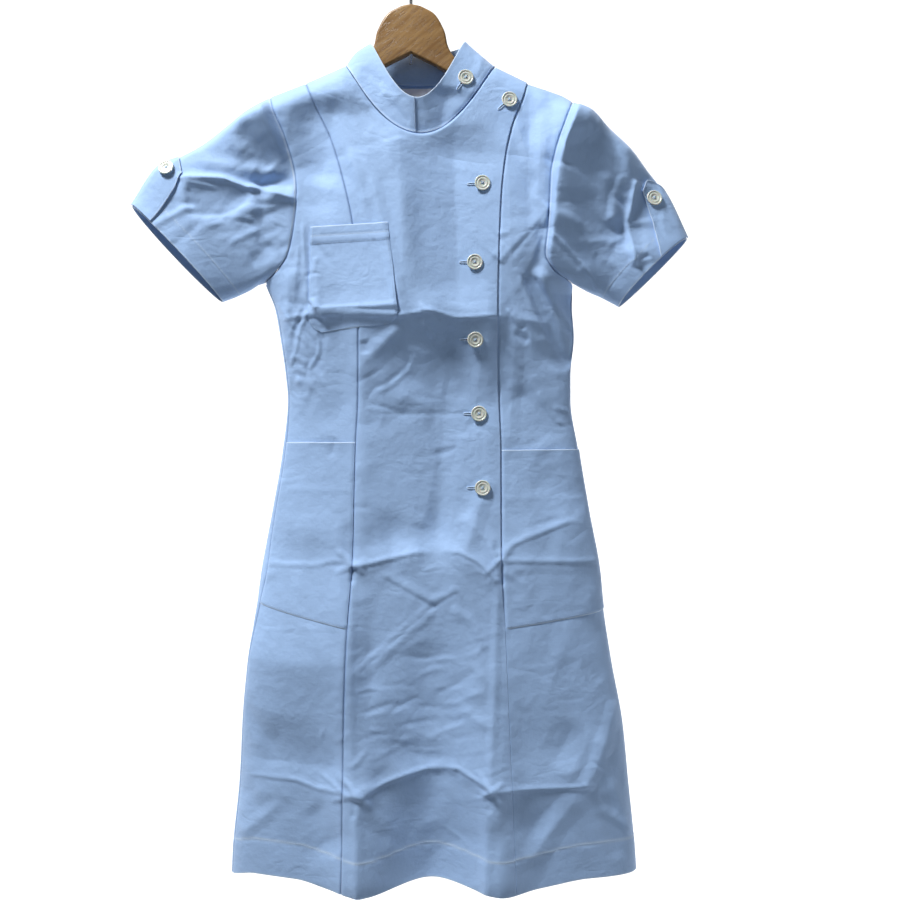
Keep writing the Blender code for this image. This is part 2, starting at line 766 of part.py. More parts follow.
class Sleeve:
    """Tube of a short sleeve, from the armhole to its hem."""

    def __init__(self, rings, armhole, outward):
        self.rings = rings
        self.armhole = armhole
        self.outward = outward
        steps = [(armhole[i + 1][0] - armhole[i][0]).length for i in range(len(armhole) - 1)]
        crown = len(armhole) // 2
        front, back = sum(steps[:crown]), sum(steps[crown:])
        self.turns = [sum(steps[:i]) / front / 2.0 for i in range(crown)] + [0.5]
        self.turns += [0.5 + sum(steps[crown:i]) / back / 2.0 for i in range(crown + 1, len(armhole))]

    def plain(self, share, turn):
        """Flattened tube between the crown line and the underarm line."""
        values = {name: read(self.rings, "share", name, share) for name in Ring._fields[1:]}
        crown = Vector((values["crown_x"], 0.0, values["crown_z"]))
        under = Vector((values["under_x"], 0.0, values["under_z"]))
        half_turn = 2.0 * turn if turn <= 0.5 else 2.0 - 2.0 * turn
        point = mix(under, crown, (1.0 - cos(pi * half_turn)) / 2.0)
        chord = (crown - under).normalized()
        out = Vector((chord.z, 0.0, -chord.x)) * self.outward
        round_out = sin(pi * half_turn)
        if turn <= 0.5:
            point += out * values["front_bow"] * round_out
            folds = fold_height(FRONT_FOLDS, point.x, point.z) * ease(round_out, 0.0, SLEEVE_FOLD_FADE)
            point.y = -(values["front"] * round_out ** SLEEVE_FLATNESS + folds)
        else:
            point += out * values["back_bow"] * round_out
            folds = fold_height(BACK_FOLDS, point.x, point.z) * ease(round_out, 0.0, SLEEVE_FOLD_FADE)
            point.y = values["back"] * round_out ** SLEEVE_FLATNESS + folds
        return point

    def start(self, turn):
        """Armhole point and normal at a share round the ring."""
        turn = limit(turn)
        index = max(i for i in range(len(self.turns) - 1) if self.turns[i] <= turn)
        share = (turn - self.turns[index]) / (self.turns[index + 1] - self.turns[index])
        before, after = self.armhole[index], self.armhole[index + 1]
        return mix(before[0], after[0], share), mix(before[1], after[1], share).normalized()

    def point(self, share, turn):
        """Outer face, drawn onto the armhole at its start."""
        pull = self.start(turn)[0] - self.plain(0.0, turn)
        return self.plain(share, turn) + pull * (1.0 - ease(share, 0.0, SLEEVE_DRAW))

    def normal(self, share, turn):
        """Direction out of the sleeve, near that of the body at the crown of the armhole."""
        along = self.point(share + 0.01, turn) - self.point(share - 0.01 if share > 0.0 else share, turn)
        around = self.point(share, limit(turn + 0.004)) - self.point(share, limit(turn - 0.004))
        own = along.cross(around).normalized() * self.outward
        body = self.start(turn)[1]
        follow = ease(own.dot(body), 0.1, 0.45) * (1.0 - ease(share, 0.0, BODY_FOLLOW))
        return mix(own, body, follow).normalized()

    def place(self, share, turn, out):
        """Place on the sleeve, moved out of its outer face and clear of its seams."""
        point = self.point(share, turn) + self.normal(share, turn) * out
        clear = self.point(0.03, turn) - self.point(0.0, turn)
        point += clear.normalized() * SEAM_CLEAR * (1.0 - ease(share, 0.0, SEAM_CLEAR_FADE))
        if turn <= 0.0:
            point.y -= HALF_GAP
        elif turn >= 1.0:
            point.y += HALF_GAP
        return point


def add_sleeve(name, sleeve, collection):
    """Sleeve wall."""

    def place(turn, share, inner):
        return sleeve.place(share, turn, -WALL if inner else 0.0)

    return add_wall(name, place, sleeve.turns, SLEEVE_ROWS, "cloth", collection)


def tab_place(sleeve, tab, across, along, out):
    """Place on a sleeve tab, across from its inner to its outer edge and along from hem to tip."""
    if across < tab.peak_across:
        tip = mix(tab.inner_share, tab.peak_share, across / tab.peak_across)
    else:
        tip = mix(tab.peak_share, tab.outer_share, (across - tab.peak_across) / (1.0 - tab.peak_across))
    inner = mix(tab.hem_inner, tab.tip_inner, along) - tab.bow * sin(pi * along)
    return sleeve.place(mix(TAB_HEM, tip, along), mix(inner, TAB_OUTER, across), out)


def add_tab(name, sleeve, tab, collection):
    """Strap that is sewn in at the sleeve hem and lies on the sleeve."""
    columns = spread(0.0, tab.peak_across, TAB_COLUMNS[0])
    columns += spread(tab.peak_across, 1.0, TAB_COLUMNS[1]) + [1.0]
    rows = even(TAB_ROWS)

    def place(across, along, inner):
        return tab_place(sleeve, tab, across, along, TAB_GAP + (0.0 if inner else WALL))

    return add_wall(name, place, columns, rows, "cloth", collection)


def neckline(turn):
    """Point of the neckline: turn 0 is the left neck point, 90 the front, 180 the right, -90 the back."""
    x = mix(NECK_LEFT, NECK_RIGHT, (1.0 - cos(radians(turn))) / 2.0)
    behind = sin(radians(turn)) < 0.0
    z = back_top(x) if behind else front_top(x)
    return tube_point(tube_angle(x, z, behind), z)


def collar_point(turn, rise):
    """Outer face of the stand collar, from the neckline (0) to its upper edge (1)."""
    foot = neckline(turn)
    out = sin(radians(turn))
    left, right = COLLAR_TOP_LEFT, COLLAR_TOP_RIGHT
    share = (1.0 - cos(radians(turn))) / 2.0
    drop = COLLAR_FRONT_DROP * out ** COLLAR_FRONT_SHARPNESS if out >= 0.0 else COLLAR_BACK_DROP * -out
    depth = -COLLAR_TOP_FRONT * out if out >= 0.0 else -COLLAR_TOP_BACK * out
    head = Vector((mix(left.x, right.x, share), depth, mix(left.z, right.z, share) - drop))
    lift = SEAM_GAP / (head - foot).length
    bulge = COLLAR_BULGE * sin(pi * rise) * max(0.0, cos(radians(turn))) ** 2
    return mix(foot, head, mix(lift, 1.0, rise)) + Vector((-bulge, 0.0, bulge)) * sqrt(0.5)


def collar_place(turn, rise, out):
    """Place on the collar, moved out of its outer face."""
    around = collar_point(turn + 1.0, rise) - collar_point(turn - 1.0, rise)
    up = collar_point(turn, 1.0) - collar_point(turn, 0.0)
    return collar_point(turn, rise) + around.cross(up).normalized() * out


def neck_turns(places, behind):
    """Turns of the collar at which the panels below it have their corners."""
    turns = []
    for x in places:
        share = limit((x - NECK_LEFT) / (NECK_RIGHT - NECK_LEFT))
        turn = acos(1.0 - 2.0 * share) * 180.0 / pi
        turns.append(-turn if behind else turn)
    return turns


def add_collar(collection):
    """Stand collar: the part that runs round the back, and the front part that buttons over it."""
    front = neck_turns(FRONT_NECK_PLACES, behind=False)
    back = neck_turns(BACK_NECK_PLACES, behind=True)

    def around_back(turn, rise, inner):
        under = LAYER * (1.0 - ease(turn, *COLLAR_END_FADE))
        return collar_place(turn, rise, -under - (WALL if inner else 0.0))

    turns = [turn for turn in front if turn <= COLLAR_SPLIT + 0.1]
    turns = [COLLAR_END, COLLAR_END + 15.0] + sorted(back)[:-1] + turns
    add_wall("collar", around_back, turns, COLLAR_RISES, "cloth", collection)

    def over_front(turn, rise, inner):
        under = LAYER * (1.0 - ease(turn - COLLAR_SPLIT, *COLLAR_TUCK_FADE))
        return collar_place(turn, rise, -under - (WALL if inner else 0.0))

    turns = [COLLAR_SPLIT - COLLAR_TUCK] + [turn for turn in front if turn >= COLLAR_SPLIT - 0.1]
    add_wall("collar_overlap", over_front, turns, COLLAR_RISES, "cloth", collection)


def add_chest_pocket(collection):
    """Patch pocket with rounded lower corners, on the front and the side front."""
    columns = even(CHEST_POCKET_COLUMNS)

    def place(across, down, inner):
        top = mix(CHEST_POCKET_TOP[0].z, CHEST_POCKET_TOP[1].z, across)
        foot = mix(CHEST_POCKET_BOTTOM[0].z, CHEST_POCKET_BOTTOM[1].z, across)
        left = mix(CHEST_POCKET_TOP[0].x, CHEST_POCKET_BOTTOM[0].x, down)
        right = mix(CHEST_POCKET_TOP[1].x, CHEST_POCKET_BOTTOM[1].x, down)
        z = mix(top, foot, down)
        into = max(0.0, CHEST_POCKET_CORNER - (z - foot))
        inset = CHEST_POCKET_CORNER - sqrt(max(0.0, CHEST_POCKET_CORNER ** 2 - into ** 2))
        x = mix(left + inset * 0.8, right - inset * 0.8, across)
        return tube_offset(tube_angle(x, z), z, LAYER_GAP + (0.0 if inner else WALL))

    return add_wall("chest_pocket", place, columns, CHEST_POCKET_ROWS, "cloth", collection)


def add_hip_pocket(name, columns, sizes, sink, collection):
    """Patch pocket between the side seam and the seam of the front."""
    rows = even(HIP_POCKET_ROWS)

    def place(index, down, inner):
        share = index / (len(columns) - 1)
        z = mix(mix(*sizes["mouth"], share), mix(*sizes["foot"], share), down)
        angle = columns[index](z)
        return tube_offset(angle, z, -sink(angle, z) + LAYER_GAP + (0.0 if inner else WALL))

    return add_wall(name, place, range(len(columns)), rows, "cloth", collection)


def add_pockets(collection):
    """Chest pocket and both hip pockets."""
    add_chest_pocket(collection)
    columns = columns_between(left_side_edge, side_princess_edge, even(SIDE_COLUMNS))
    add_hip_pocket("right_hip_pocket", columns, RIGHT_HIP_POCKET, no_sink, collection)

    def beside_overlap(z):
        return seam_angle(OVERLAP_EDGE, z, SEAM_GAP * 2.0)

    columns = columns_between(beside_overlap, fold_column(FOLD_OFFSETS[0]), even(HIP_POCKET_COLUMNS)[:-1])
    columns += [fold_column(offset) for offset in FOLD_OFFSETS]
    add_hip_pocket("left_hip_pocket", columns, LEFT_HIP_POCKET, sink_under_overlap, collection)


def add_label(collection):
    """Bare neck label on the inside of the back, below the collar."""
    columns = spread(*LABEL_SPAN, LABEL_COLUMNS) + [LABEL_SPAN[1]]
    rows = (0.0, 0.5, 1.0)

    def place(x, down, inner):
        z = LABEL_TOP - LABEL_HEIGHT * down
        depth = WALL + LAYER_GAP + (LABEL_WALL if inner else 0.0)
        return tube_offset(tube_angle(x, z, behind=True), z, -depth)

    return add_wall("neck_label", place, columns, rows, "label", collection)


def button_mesh():
    """Turned button with a raised rim and a domed back."""
    bm = bmesh.new()
    profile = [bm.verts.new(Vector((radius, 0.0, height)) * MM) for radius, height in BUTTON_PROFILE]
    edges = [bm.edges.new(pair) for pair in zip(profile, profile[1:])]
    bmesh.ops.spin(bm, geom=profile + edges, axis=(0.0, 0.0, 1.0), cent=(0.0, 0.0, 0.0),
                   angle=2.0 * pi, steps=BUTTON_SIDES, use_merge=True)
    bmesh.ops.remove_doubles(bm, verts=bm.verts, dist=MERGE)
    bmesh.ops.recalc_face_normals(bm, faces=bm.faces)
    mesh = bpy.data.meshes.new("button")
    bm.to_mesh(mesh)
    bm.free()
    mesh.shade_smooth()
    mesh.set_sharp_from_angle(angle=radians(BUTTON_SHARP))
    return mesh


def add_button(name, mesh, seat, normal, collection):
    """Place one button on the cloth."""
    button = add_object(name, mesh, "button", collection)
    button.rotation_mode = "QUATERNION"
    button.rotation_quaternion = normal.to_track_quat("Z", "Y")
    button.location = (seat + normal * LAYER_GAP) * MM
    return button


def add_buttons(sleeves, collection):
    """Collar, shoulder, front and sleeve tab buttons."""
    mesh = button_mesh()
    for name, knot in FRONT_BUTTONS:
        angle = tube_angle(knot.x, knot.z)
        add_button(name, mesh, tube_point(angle, knot.z), tube_normal(angle, knot.z), collection)
    collar_seat = collar_place(**COLLAR_BUTTON, out=0.0)
    collar_out = collar_place(**COLLAR_BUTTON, out=1.0) - collar_seat
    add_button("button_collar", mesh, collar_seat, collar_out, collection)
    for name, sleeve, on in (("button_right_tab", sleeves[0], TAB_RIGHT_BUTTON),
                             ("button_left_tab", sleeves[1], TAB_LEFT_BUTTON)):
        seat = sleeve.place(**on, out=TAB_GAP + WALL - BUTTON_SINK)
        add_button(name, mesh, seat, sleeve.normal(**on), collection)


def mesh_from_curve(obj, collection):
    """Replace a curve object by its mesh."""
    graph = bpy.context.evaluated_depsgraph_get()
    mesh = bpy.data.meshes.new_from_object(obj.evaluated_get(graph))
    bm = bmesh.new()
    bm.from_mesh(mesh)
    bmesh.ops.remove_doubles(bm, verts=bm.verts, dist=MERGE)
    bmesh.ops.recalc_face_normals(bm, faces=bm.faces)
    bm.to_mesh(mesh)
    bm.free()
    name, matrix = obj.name, obj.matrix_world.copy()
    bpy.data.objects.remove(obj)
    solid = bpy.data.objects.new(name, mesh)
    solid.matrix_world = matrix
    collection.objects.link(solid)
    return solid


def add_wood(collection, cutters):
    """Flat wooden body with rounded edges and the bore of the hook's stem."""
    curve = bpy.data.curves.new("hanger_wood", "CURVE")
    curve.dimensions = "2D"
    curve.fill_mode = "BOTH"
    curve.extrude = (WOOD_THICKNESS / 2.0 - WOOD_EDGE) * MM
    curve.bevel_depth = WOOD_EDGE * MM
    curve.bevel_resolution = 1
    curve.offset = -WOOD_EDGE * MM
    right = [(knot.x, knot.z) for knot in WOOD_OUTLINE]
    outline = right + [(-x, z) for x, z in reversed(right[1:-1])]
    spline = curve.splines.new("POLY")
    spline.points.add(len(outline) - 1)
    for point, (x, z) in zip(spline.points, outline):
        point.co = (x * MM, z * MM, 0.0, 1.0)
    spline.use_cyclic_u = True
    wood = add_object("hanger_wood", curve, "wood", collection)
    wood.rotation_euler = (radians(90), 0.0, 0.0)
    bpy.context.view_layer.update()
    wood = mesh_from_curve(wood, collection)

    length = (WOOD_OUTLINE[0].z - WOOD_OUTLINE[-1].z + BORE_SPARE) * MM
    bpy.ops.mesh.primitive_cylinder_add(vertices=BORE_SIDES, radius=HOOK_BORE / 2.0 * MM, depth=length)
    bore = bpy.context.object
    bore.name = "bore"
    bore.location = (0.0, 0.0, mix(WOOD_OUTLINE[0].z, WOOD_OUTLINE[-1].z, 0.5) * MM)
    bore.hide_render = True
    bore.display_type = "WIRE"
    for holder in bore.users_collection:
        holder.objects.unlink(bore)
    cutters.objects.link(bore)
    cut = wood.modifiers.new("bore", "BOOLEAN")
    cut.operation = "DIFFERENCE"
    cut.solver = "EXACT"
    cut.object = bore


def hook_route():
    """Centre line of the hook: an arc over the rail, a bend back to the middle and the stem."""
    centre = Vector((0.0, 0.0, HOOK_WIRE / 2.0 - HOOK_RADIUS))
    points = []
    for index in range(HOOK_STEPS + 1):
        turn = radians(mix(HOOK_TIP, HOOK_LEAVE, index / HOOK_STEPS))
        points.append(centre + Vector((cos(turn), 0.0, sin(turn))) * HOOK_RADIUS)
    leave, stem = points[-1], Vector((0.0, 0.0, STEM_TOP))
    heading = Vector((sin(radians(HOOK_LEAVE)), 0.0, -cos(radians(HOOK_LEAVE))))
    first, second = leave + heading * HOOK_BEND_LEAVE, stem + Vector((0.0, 0.0, HOOK_BEND_STEM))
    for index in range(1, HOOK_BEND_STEPS + 1):
        t = index / HOOK_BEND_STEPS
        ends = leave * (1.0 - t) ** 3 + stem * t ** 3
        points.append(ends + first * 3.0 * t * (1.0 - t) ** 2 + second * 3.0 * t * t * (1.0 - t))
    points.append(Vector((0.0, 0.0, STEM_END)))
    return points


def add_hook(collection):
    """Round steel wire."""
    curve = bpy.data.curves.new("hanger_hook", "CURVE")
    curve.dimensions = "3D"
    curve.bevel_depth = HOOK_WIRE / 2.0 * MM
    curve.bevel_resolution = 2
    curve.use_fill_caps = True
    route = hook_route()
    spline = curve.splines.new("POLY")
    spline.points.add(len(route) - 1)
    for point, place in zip(spline.points, route):
        point.co = (*(place * MM), 1.0)
    add_object("hanger_hook", curve, "steel", collection)


def main():
    """Build the dress and its hanger."""
    for obj in list(bpy.data.objects):
        bpy.data.objects.remove(obj)
    dress = bpy.data.collections.new("nurse_uniform_dress")
    cutters = bpy.data.collections.new("cutters")
    bpy.context.scene.collection.children.link(dress)
    bpy.context.scene.collection.children.link(cutters)

    add_body(dress)
    right_ring = armhole_ring(left_side_edge, back_left_edge, ARMHOLE_LEFT_FRONT[0])
    left_ring = armhole_ring(right_side_edge, back_right_edge, ARMHOLE_RIGHT_FRONT[0])
    sleeves = (Sleeve(SLEEVE_LEFT, right_ring, -1.0), Sleeve(SLEEVE_RIGHT, left_ring, 1.0))
    add_sleeve("right_sleeve", sleeves[0], dress)
    add_sleeve("left_sleeve", sleeves[1], dress)
    add_tab("right_sleeve_tab", sleeves[0], TAB_RIGHT, dress)
    add_tab("left_sleeve_tab", sleeves[1], TAB_LEFT, dress)
    add_collar(dress)
    add_pockets(dress)
    add_label(dress)
    add_buttons(sleeves, dress)
    add_wood(dress, cutters)
    add_hook(dress)


main()
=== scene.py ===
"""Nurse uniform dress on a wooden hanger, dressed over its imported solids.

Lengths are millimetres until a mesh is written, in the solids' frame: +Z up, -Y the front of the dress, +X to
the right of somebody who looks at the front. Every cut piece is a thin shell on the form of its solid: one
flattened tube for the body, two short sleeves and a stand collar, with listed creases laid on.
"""

from __future__ import annotations

import logging
from collections.abc import Callable, Iterable, Sequence
from dataclasses import dataclass, field
from enum import Enum
from functools import partial
from math import cos, hypot, pi, radians, sin

import bmesh
import bpy
import numpy as np
from mathutils import Matrix, Vector
from numpy.typing import NDArray

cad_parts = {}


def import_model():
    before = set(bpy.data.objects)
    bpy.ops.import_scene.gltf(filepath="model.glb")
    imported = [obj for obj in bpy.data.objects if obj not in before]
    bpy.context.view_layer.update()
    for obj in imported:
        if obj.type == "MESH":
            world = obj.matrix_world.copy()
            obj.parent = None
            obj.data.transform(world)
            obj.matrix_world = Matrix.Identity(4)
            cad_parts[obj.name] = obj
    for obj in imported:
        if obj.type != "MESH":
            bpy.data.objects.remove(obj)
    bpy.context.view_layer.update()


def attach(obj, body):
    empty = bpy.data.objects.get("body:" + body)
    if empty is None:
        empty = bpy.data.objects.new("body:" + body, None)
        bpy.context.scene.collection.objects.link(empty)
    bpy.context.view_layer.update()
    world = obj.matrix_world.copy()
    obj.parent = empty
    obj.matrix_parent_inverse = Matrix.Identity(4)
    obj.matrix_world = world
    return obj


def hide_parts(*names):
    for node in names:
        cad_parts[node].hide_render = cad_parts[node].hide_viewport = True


Array = NDArray[np.float64]
Edge = Callable[[Array], Array]
Pair = tuple[float, float]
Triple = tuple[float, float, float]
Row = tuple[float, ...]
Material = bpy.types.Material
Mesh = bpy.types.Mesh
Socket = bpy.types.NodeSocket

LOG = logging.getLogger("nurse_dress")
MM = 0.001
BODY = "root"
UV_MAP = "cloth"
# Point attribute of painted highlights (positive) and painted shade (negative) along edges and seams
PAINTED_LIGHT_ATTRIBUTE = "edge"

# Cloth and its layers
CLOTH = 0.9
UNDERLAP_SINK = 2.3
UNDERLAP_RISE = 1.3
UNDERLAP_SLOPE = 0.55
UNDERLAP_REACH = 12.0
SEAM_GAP = 0.04
EDGE_STEPS = (0.0, 0.35, 0.9, 1.8, 3.2)
EDGE_ROUNDS = 14
ROLL_STEPS = (0.03, 0.3)

# Levels of the dress
CHEST_LEVEL = -330.0
ARMPIT = -416.0
HEM_BLEND = -1045.0
HEM_LEVEL = -1105.0
HEM_DEPTH = 40.0
SHOULDER_ROUND = 24.0
SHOULDER_START = 0.001
SHOULDER_DROP = 150.0

# Neck points, and the depth and squareness of the neckline on both sides
NECK_LEFT = -76.5
NECK_RIGHT = 99.0
FRONT_NECK = (84.0, 2.1)
BACK_NECK = (17.0, 1.2)

# Cross-sections of creases, and how far they fade out and in at their ends
PRESSED_ROUND = 0.15
FACET_ROUND = 0.04
FLANK_ROUND = 0.1
RIDGE_WIDTH = 4.6
STEP_PEAK = 0.4289
LAP_STEEP = 0.3
TIP_OUT = 0.12
TIP_IN = 0.15
BENT_TIP = 0.7

# Ironed folds, as multiples of their row's reach and height, and the groove below them
FOLD_ABOVE = 1.3
FOLD_BELOW = 1.5
FOLD_RISE = 1.5
FOLD_CREST = 0.3
GROOVE = 2.4
GROOVE_DEPTH = 0.42


def mix(start: Array | float, end: Array | float, share: Array | float) -> Array:
    """Value between two others."""
    return start + (end - start) * share


def ease(value: Array | float, start: Array | float, end: Array | float) -> Array:
    """0 before start and 1 after end, with a soft change between them."""
    share = np.clip((value - start) / (end - start), 0.0, 1.0)
    return share * share * (3.0 - 2.0 * share)


def unit(vectors: Array) -> Array:
    """Vectors at length 1."""
    length = np.linalg.norm(vectors, axis=-1, keepdims=True)
    return vectors / np.maximum(length, 1e-9)


def bell(distance: Array, width: float = 1.0) -> Array:
    """1 at no distance, falling off in a bell curve."""
    return np.exp(-((distance / width) ** 2))


def tent(aside: Array) -> Array:
    """Section of two flat flanks that meet in a slightly rounded crest."""
    return np.maximum(1.0 + FACET_ROUND - np.sqrt(aside ** 2 + FACET_ROUND ** 2), 0.0)


def spire(aside: Array, rounding: float) -> Array:
    """Section of a sharp crest whose flanks flatten out slowly."""
    return np.exp(rounding - np.sqrt(aside ** 2 + rounding ** 2))


def route_way(points: Array) -> Array:
    """Distance along a route from its first point to each of its points."""
    return np.concatenate([[0.0], np.cumsum(np.linalg.norm(np.diff(points, axis=0), axis=1))])


def together(*values: Array | float) -> Sequence[Array]:
    """Numbers and arrays brought to one shape."""
    return np.broadcast_arrays(*(np.asarray(value, float) for value in values))


def half_wave(turn: Array | float) -> Array:
    """0 at 0 degrees and 1 at 180, in a cosine's soft change."""
    return (1.0 - np.cos(np.radians(turn))) / 2.0


@dataclass(frozen=True)
class Line:
    """Smooth line through knots, which never swings past them.

    Args:
        at: Where the knots are, in any order.
        value: The line's value at each knot.
    """

    at: Row
    value: Row

    def __call__(self, where: Array | float) -> Array:
        """Values of the line, held steady past its ends."""
        order = np.argsort(self.at)
        keys = np.array(self.at, float)[order]
        values = np.array(self.value, float)[order]
        where = np.clip(where, keys[0], keys[-1])
        index = np.clip(np.searchsorted(keys, where, side="right") - 1, 0, len(keys) - 2)
        steps = np.diff(values) / np.diff(keys)
        product = steps[:-1] * steps[1:]
        total = np.where(product > 0.0, steps[:-1] + steps[1:], 1.0)
        slopes = np.concatenate([steps[:1], np.where(product > 0.0, 2.0 * product / total, 0.0), steps[-1:]])
        width = np.diff(keys)[index]
        share = (where - keys[index]) / width
        rise = np.diff(values)[index]
        bend_in = slopes[index] * width - rise
        bend_out = rise - slopes[index + 1] * width
        curve = (1.0 - share) * bend_in + share * bend_out
        return values[index] + rise * share + share * (1.0 - share) * curve


class Shape(Enum):
    """Cross-section of a crease, seen along it from its start to its end."""

    SOFT = "rounded"
    PRESSED = "sharp crest of an ironed line"
    FACET = "sharp crest between two flat flanks"
    STEP = "ridge on its left hand and trough on its right"
    LAP = "steep on its left hand, long slope on its right"


@dataclass(frozen=True)
class Crease:
    """Ridge (positive) or trough (negative) along a line from x0, z0 to x1, z1 in the front view.

    Width is half of it. The height runs to that at the end, or stays. The middle of the line bends by bow to
    its right hand, and tip is the length of both fades as a multiple of the usual one.
    """

    x0: float
    z0: float
    x1: float
    z1: float
    width: float
    height: float
    end: float | None = None
    shape: Shape = Shape.SOFT
    bow: float = 0.0
    tip: float = 1.0

    def relief(self, x: Array, z: Array) -> Array:
        """Height that the crease adds at places in the front view."""
        run_x, run_z = self.x1 - self.x0, self.z1 - self.z0
        length = hypot(run_x, run_z)
        share = ((x - self.x0) * run_x + (z - self.z0) * run_z) / length ** 2
        inside = np.clip(share, 0.0, 1.0)
        across = ((x - self.x0) * run_z - (z - self.z0) * run_x) / length
        aside = (across - 4.0 * self.bow * inside * (1.0 - inside)) / self.width
        out, into = TIP_OUT * self.tip, TIP_IN * self.tip
        fade = ease(share, -out, into) * (1.0 - ease(share, 1.0 - out, 1.0 + out))
        last = self.height if self.end is None else self.end
        return mix(self.height, last, inside) * fade * self.section(aside)

    def section(self, aside: Array) -> Array:
        """Cross-section at distances from the line, in half widths."""
        if self.shape is Shape.PRESSED:
            return spire(aside, PRESSED_ROUND)
        if self.shape is Shape.FACET:
            return tent(aside)
        if self.shape is Shape.STEP:
            return -aside * bell(aside) / STEP_PEAK
        if self.shape is Shape.LAP:
            return np.where(aside < 0.0, bell(aside, LAP_STEEP), np.exp(-np.abs(aside)))
        return bell(aside)


@dataclass(frozen=True)
class Fold:
    """Ironed fold from left to right: a crest whose flanks flatten out slowly above and below it.

    Above and below are the reach of the flanks. Crest is the share of the height that stands in a narrow
    ridge on top, and fade the length of the fade at both ends.
    """

    points: tuple[Pair, ...]
    above: float
    below: float
    height: float
    crest: float = 0.25
    fade: float = 22.0

    def relief(self, x: Array, z: Array) -> Array:
        """Height that the fold adds at places in the front view."""
        along = tuple(point[0] for point in self.points)
        away = z - Line(along, tuple(point[1] for point in self.points))(x)
        flank = np.where(away > 0.0, away / self.above, -away / self.below)
        fade = ease(x, along[0] - self.fade, along[0] + self.fade / 2.0)
        fade = fade * (1.0 - ease(x, along[-1] - self.fade / 2.0, along[-1] + self.fade))
        section = mix(spire(flank, FLANK_ROUND), tent(away / RIDGE_WIDTH), self.crest)
        return self.height * fade * section


def relief(creases: Iterable[Crease | Fold], x: Array, z: Array) -> Array:
    """Sum of creases at places in the front view."""
    total = np.zeros(np.broadcast(x, z).shape)
    for crease in creases:
        total += crease.relief(x, z)
    return total


def sided(behind: Array, back: Iterable[Crease | Fold], front: Iterable[Crease | Fold], x: Array, z: Array
          ) -> Array:
    """Sum of the back's creases where a place is behind, and of the front's elsewhere."""
    return np.where(behind, relief(back, x, z), relief(front, x, z))


def creases(shape: Shape, *rows: Row) -> tuple[Crease, ...]:
    """Straight creases of one cross-section.

    Args:
        shape: Their cross-section.
        *rows: Start, end, half width, height and, where it differs, height at the end of each.

    Returns:
        One crease for each row.
    """
    return tuple(Crease(*row, shape=shape) for row in rows)


def bent_creases(shape: Shape, *rows: tuple) -> tuple[Crease, ...]:
    """Creases along bent lines, as runs that fade into each other.

    Args:
        shape: Their cross-section.
        *rows: Half width, height and the corners of each line.

    Returns:
        One crease for each run.
    """
    return tuple(Crease(*start, *end, width, height, shape=shape, tip=BENT_TIP)
                 for width, height, *points in rows for start, end in zip(points, points[1:]))


def fold_lines(*rows: tuple) -> tuple[Crease | Fold, ...]:
    """Ironed folds from left to right, each with a fine groove along its lower side.

    Args:
        *rows: Reach of the flanks, height and the corners of each line.

    Returns:
        The folds and their grooves.
    """
    made: list[Crease | Fold] = []
    for width, height, *points in rows:
        lower = ((x, z - GROOVE) for x, z in points)
        made.append(Fold(tuple(points), FOLD_ABOVE * width, FOLD_BELOW * width, FOLD_RISE * height,
                         FOLD_CREST))
        made += bent_creases(Shape.SOFT, (GROOVE, -GROOVE_DEPTH * height ** 0.5, *lower))
    return tuple(made)


@dataclass(frozen=True)
class Rumple:
    """Scatter of small creases over a rectangle of the front view, the same on each run.

    Directions are in degrees from level and stray by spread. Height is the largest, as a share of the width,
    and least the smallest, as a share of the largest. Flat is the share of creases with flat flanks, bow the
    largest bend and tip the length of the fades.
    """

    seed: int
    count: int
    x: Pair
    z: Pair
    heading: float = 90.0
    spread: float = 40.0
    length: Pair = (18.0, 60.0)
    width: Pair = (4.0, 12.0)
    height: float = 0.14
    least: float = 0.4
    flat: float = 0.6
    bow: float = 3.0
    tip: float = 2.4

    def creases(self) -> tuple[Crease, ...]:
        """The scattered creases."""
        draw = np.random.default_rng(self.seed)
        made = []
        for _ in range(self.count):
            x, z = draw.uniform(*self.x), draw.uniform(*self.z)
            turn = radians(self.heading + draw.uniform(-self.spread, self.spread))
            reach = draw.uniform(*self.length) / 2.0
            step_x, step_z = cos(turn) * reach, sin(turn) * reach
            width = draw.uniform(*self.width)
            height = self.height * width * draw.choice((-1.0, 1.0)) * draw.uniform(self.least, 1.0)
            shape = Shape.FACET if draw.uniform() < self.flat else Shape.PRESSED
            made.append(Crease(x - step_x, z - step_z, x + step_x, z + step_z, width, height, shape=shape,
                               bow=draw.uniform(-self.bow, self.bow), tip=self.tip))
        return tuple(made)


def scattered(*rumples: Rumple) -> tuple[Crease, ...]:
    """Creases of several scatters."""
    return tuple(crease for rumple in rumples for crease in rumple.creases())


# Largest folds, which the solids have too
FRONT_FOLDS = (
    *creases(Shape.SOFT,
        (-64, -840, -56, -1130, 32, 1, 27), (86, -830, 106, -1130, 28, 1, 25),
        (25, -780, 25, -1130, 36, -2, -19), (-5, -300, -8, -460, 15, 3, 2),
        (150, -405, 192, -500, 9, 5, 3), (136, -398, 190, -540, 9, -5, -2),
        (-137, -400, -150, -500, 9, 4, 3), (-270, -300, -150, -312, 15, -9, -5),
        (-250, -274, -160, -292, 10, 4, 3), (-255, -340, -165, -326, 12, 4, 3),
        (205, -245, 245, -330, 18, -5, -4), (234, -290, 240, -350, 9, 4, 4),
        (165, -345, 220, -415, 9, 4, 3)),
)
BACK_FOLDS = (
    *creases(Shape.SOFT,
        (-70, -780, -82, -1130, 34, 1, 17), (112, -800, 128, -1130, 34, 1, 18),
        (20, -760, 24, -1130, 36, -1, -11), (20, -330, 12, -560, 22, 3, 4),
        (-110, -400, -60, -560, 14, 3, 2), (140, -400, 100, -560, 14, 3, 2),
        (-260, -330, -160, -350, 14, -5, -4), (215, -300, 245, -370, 14, -5, -4)),
)

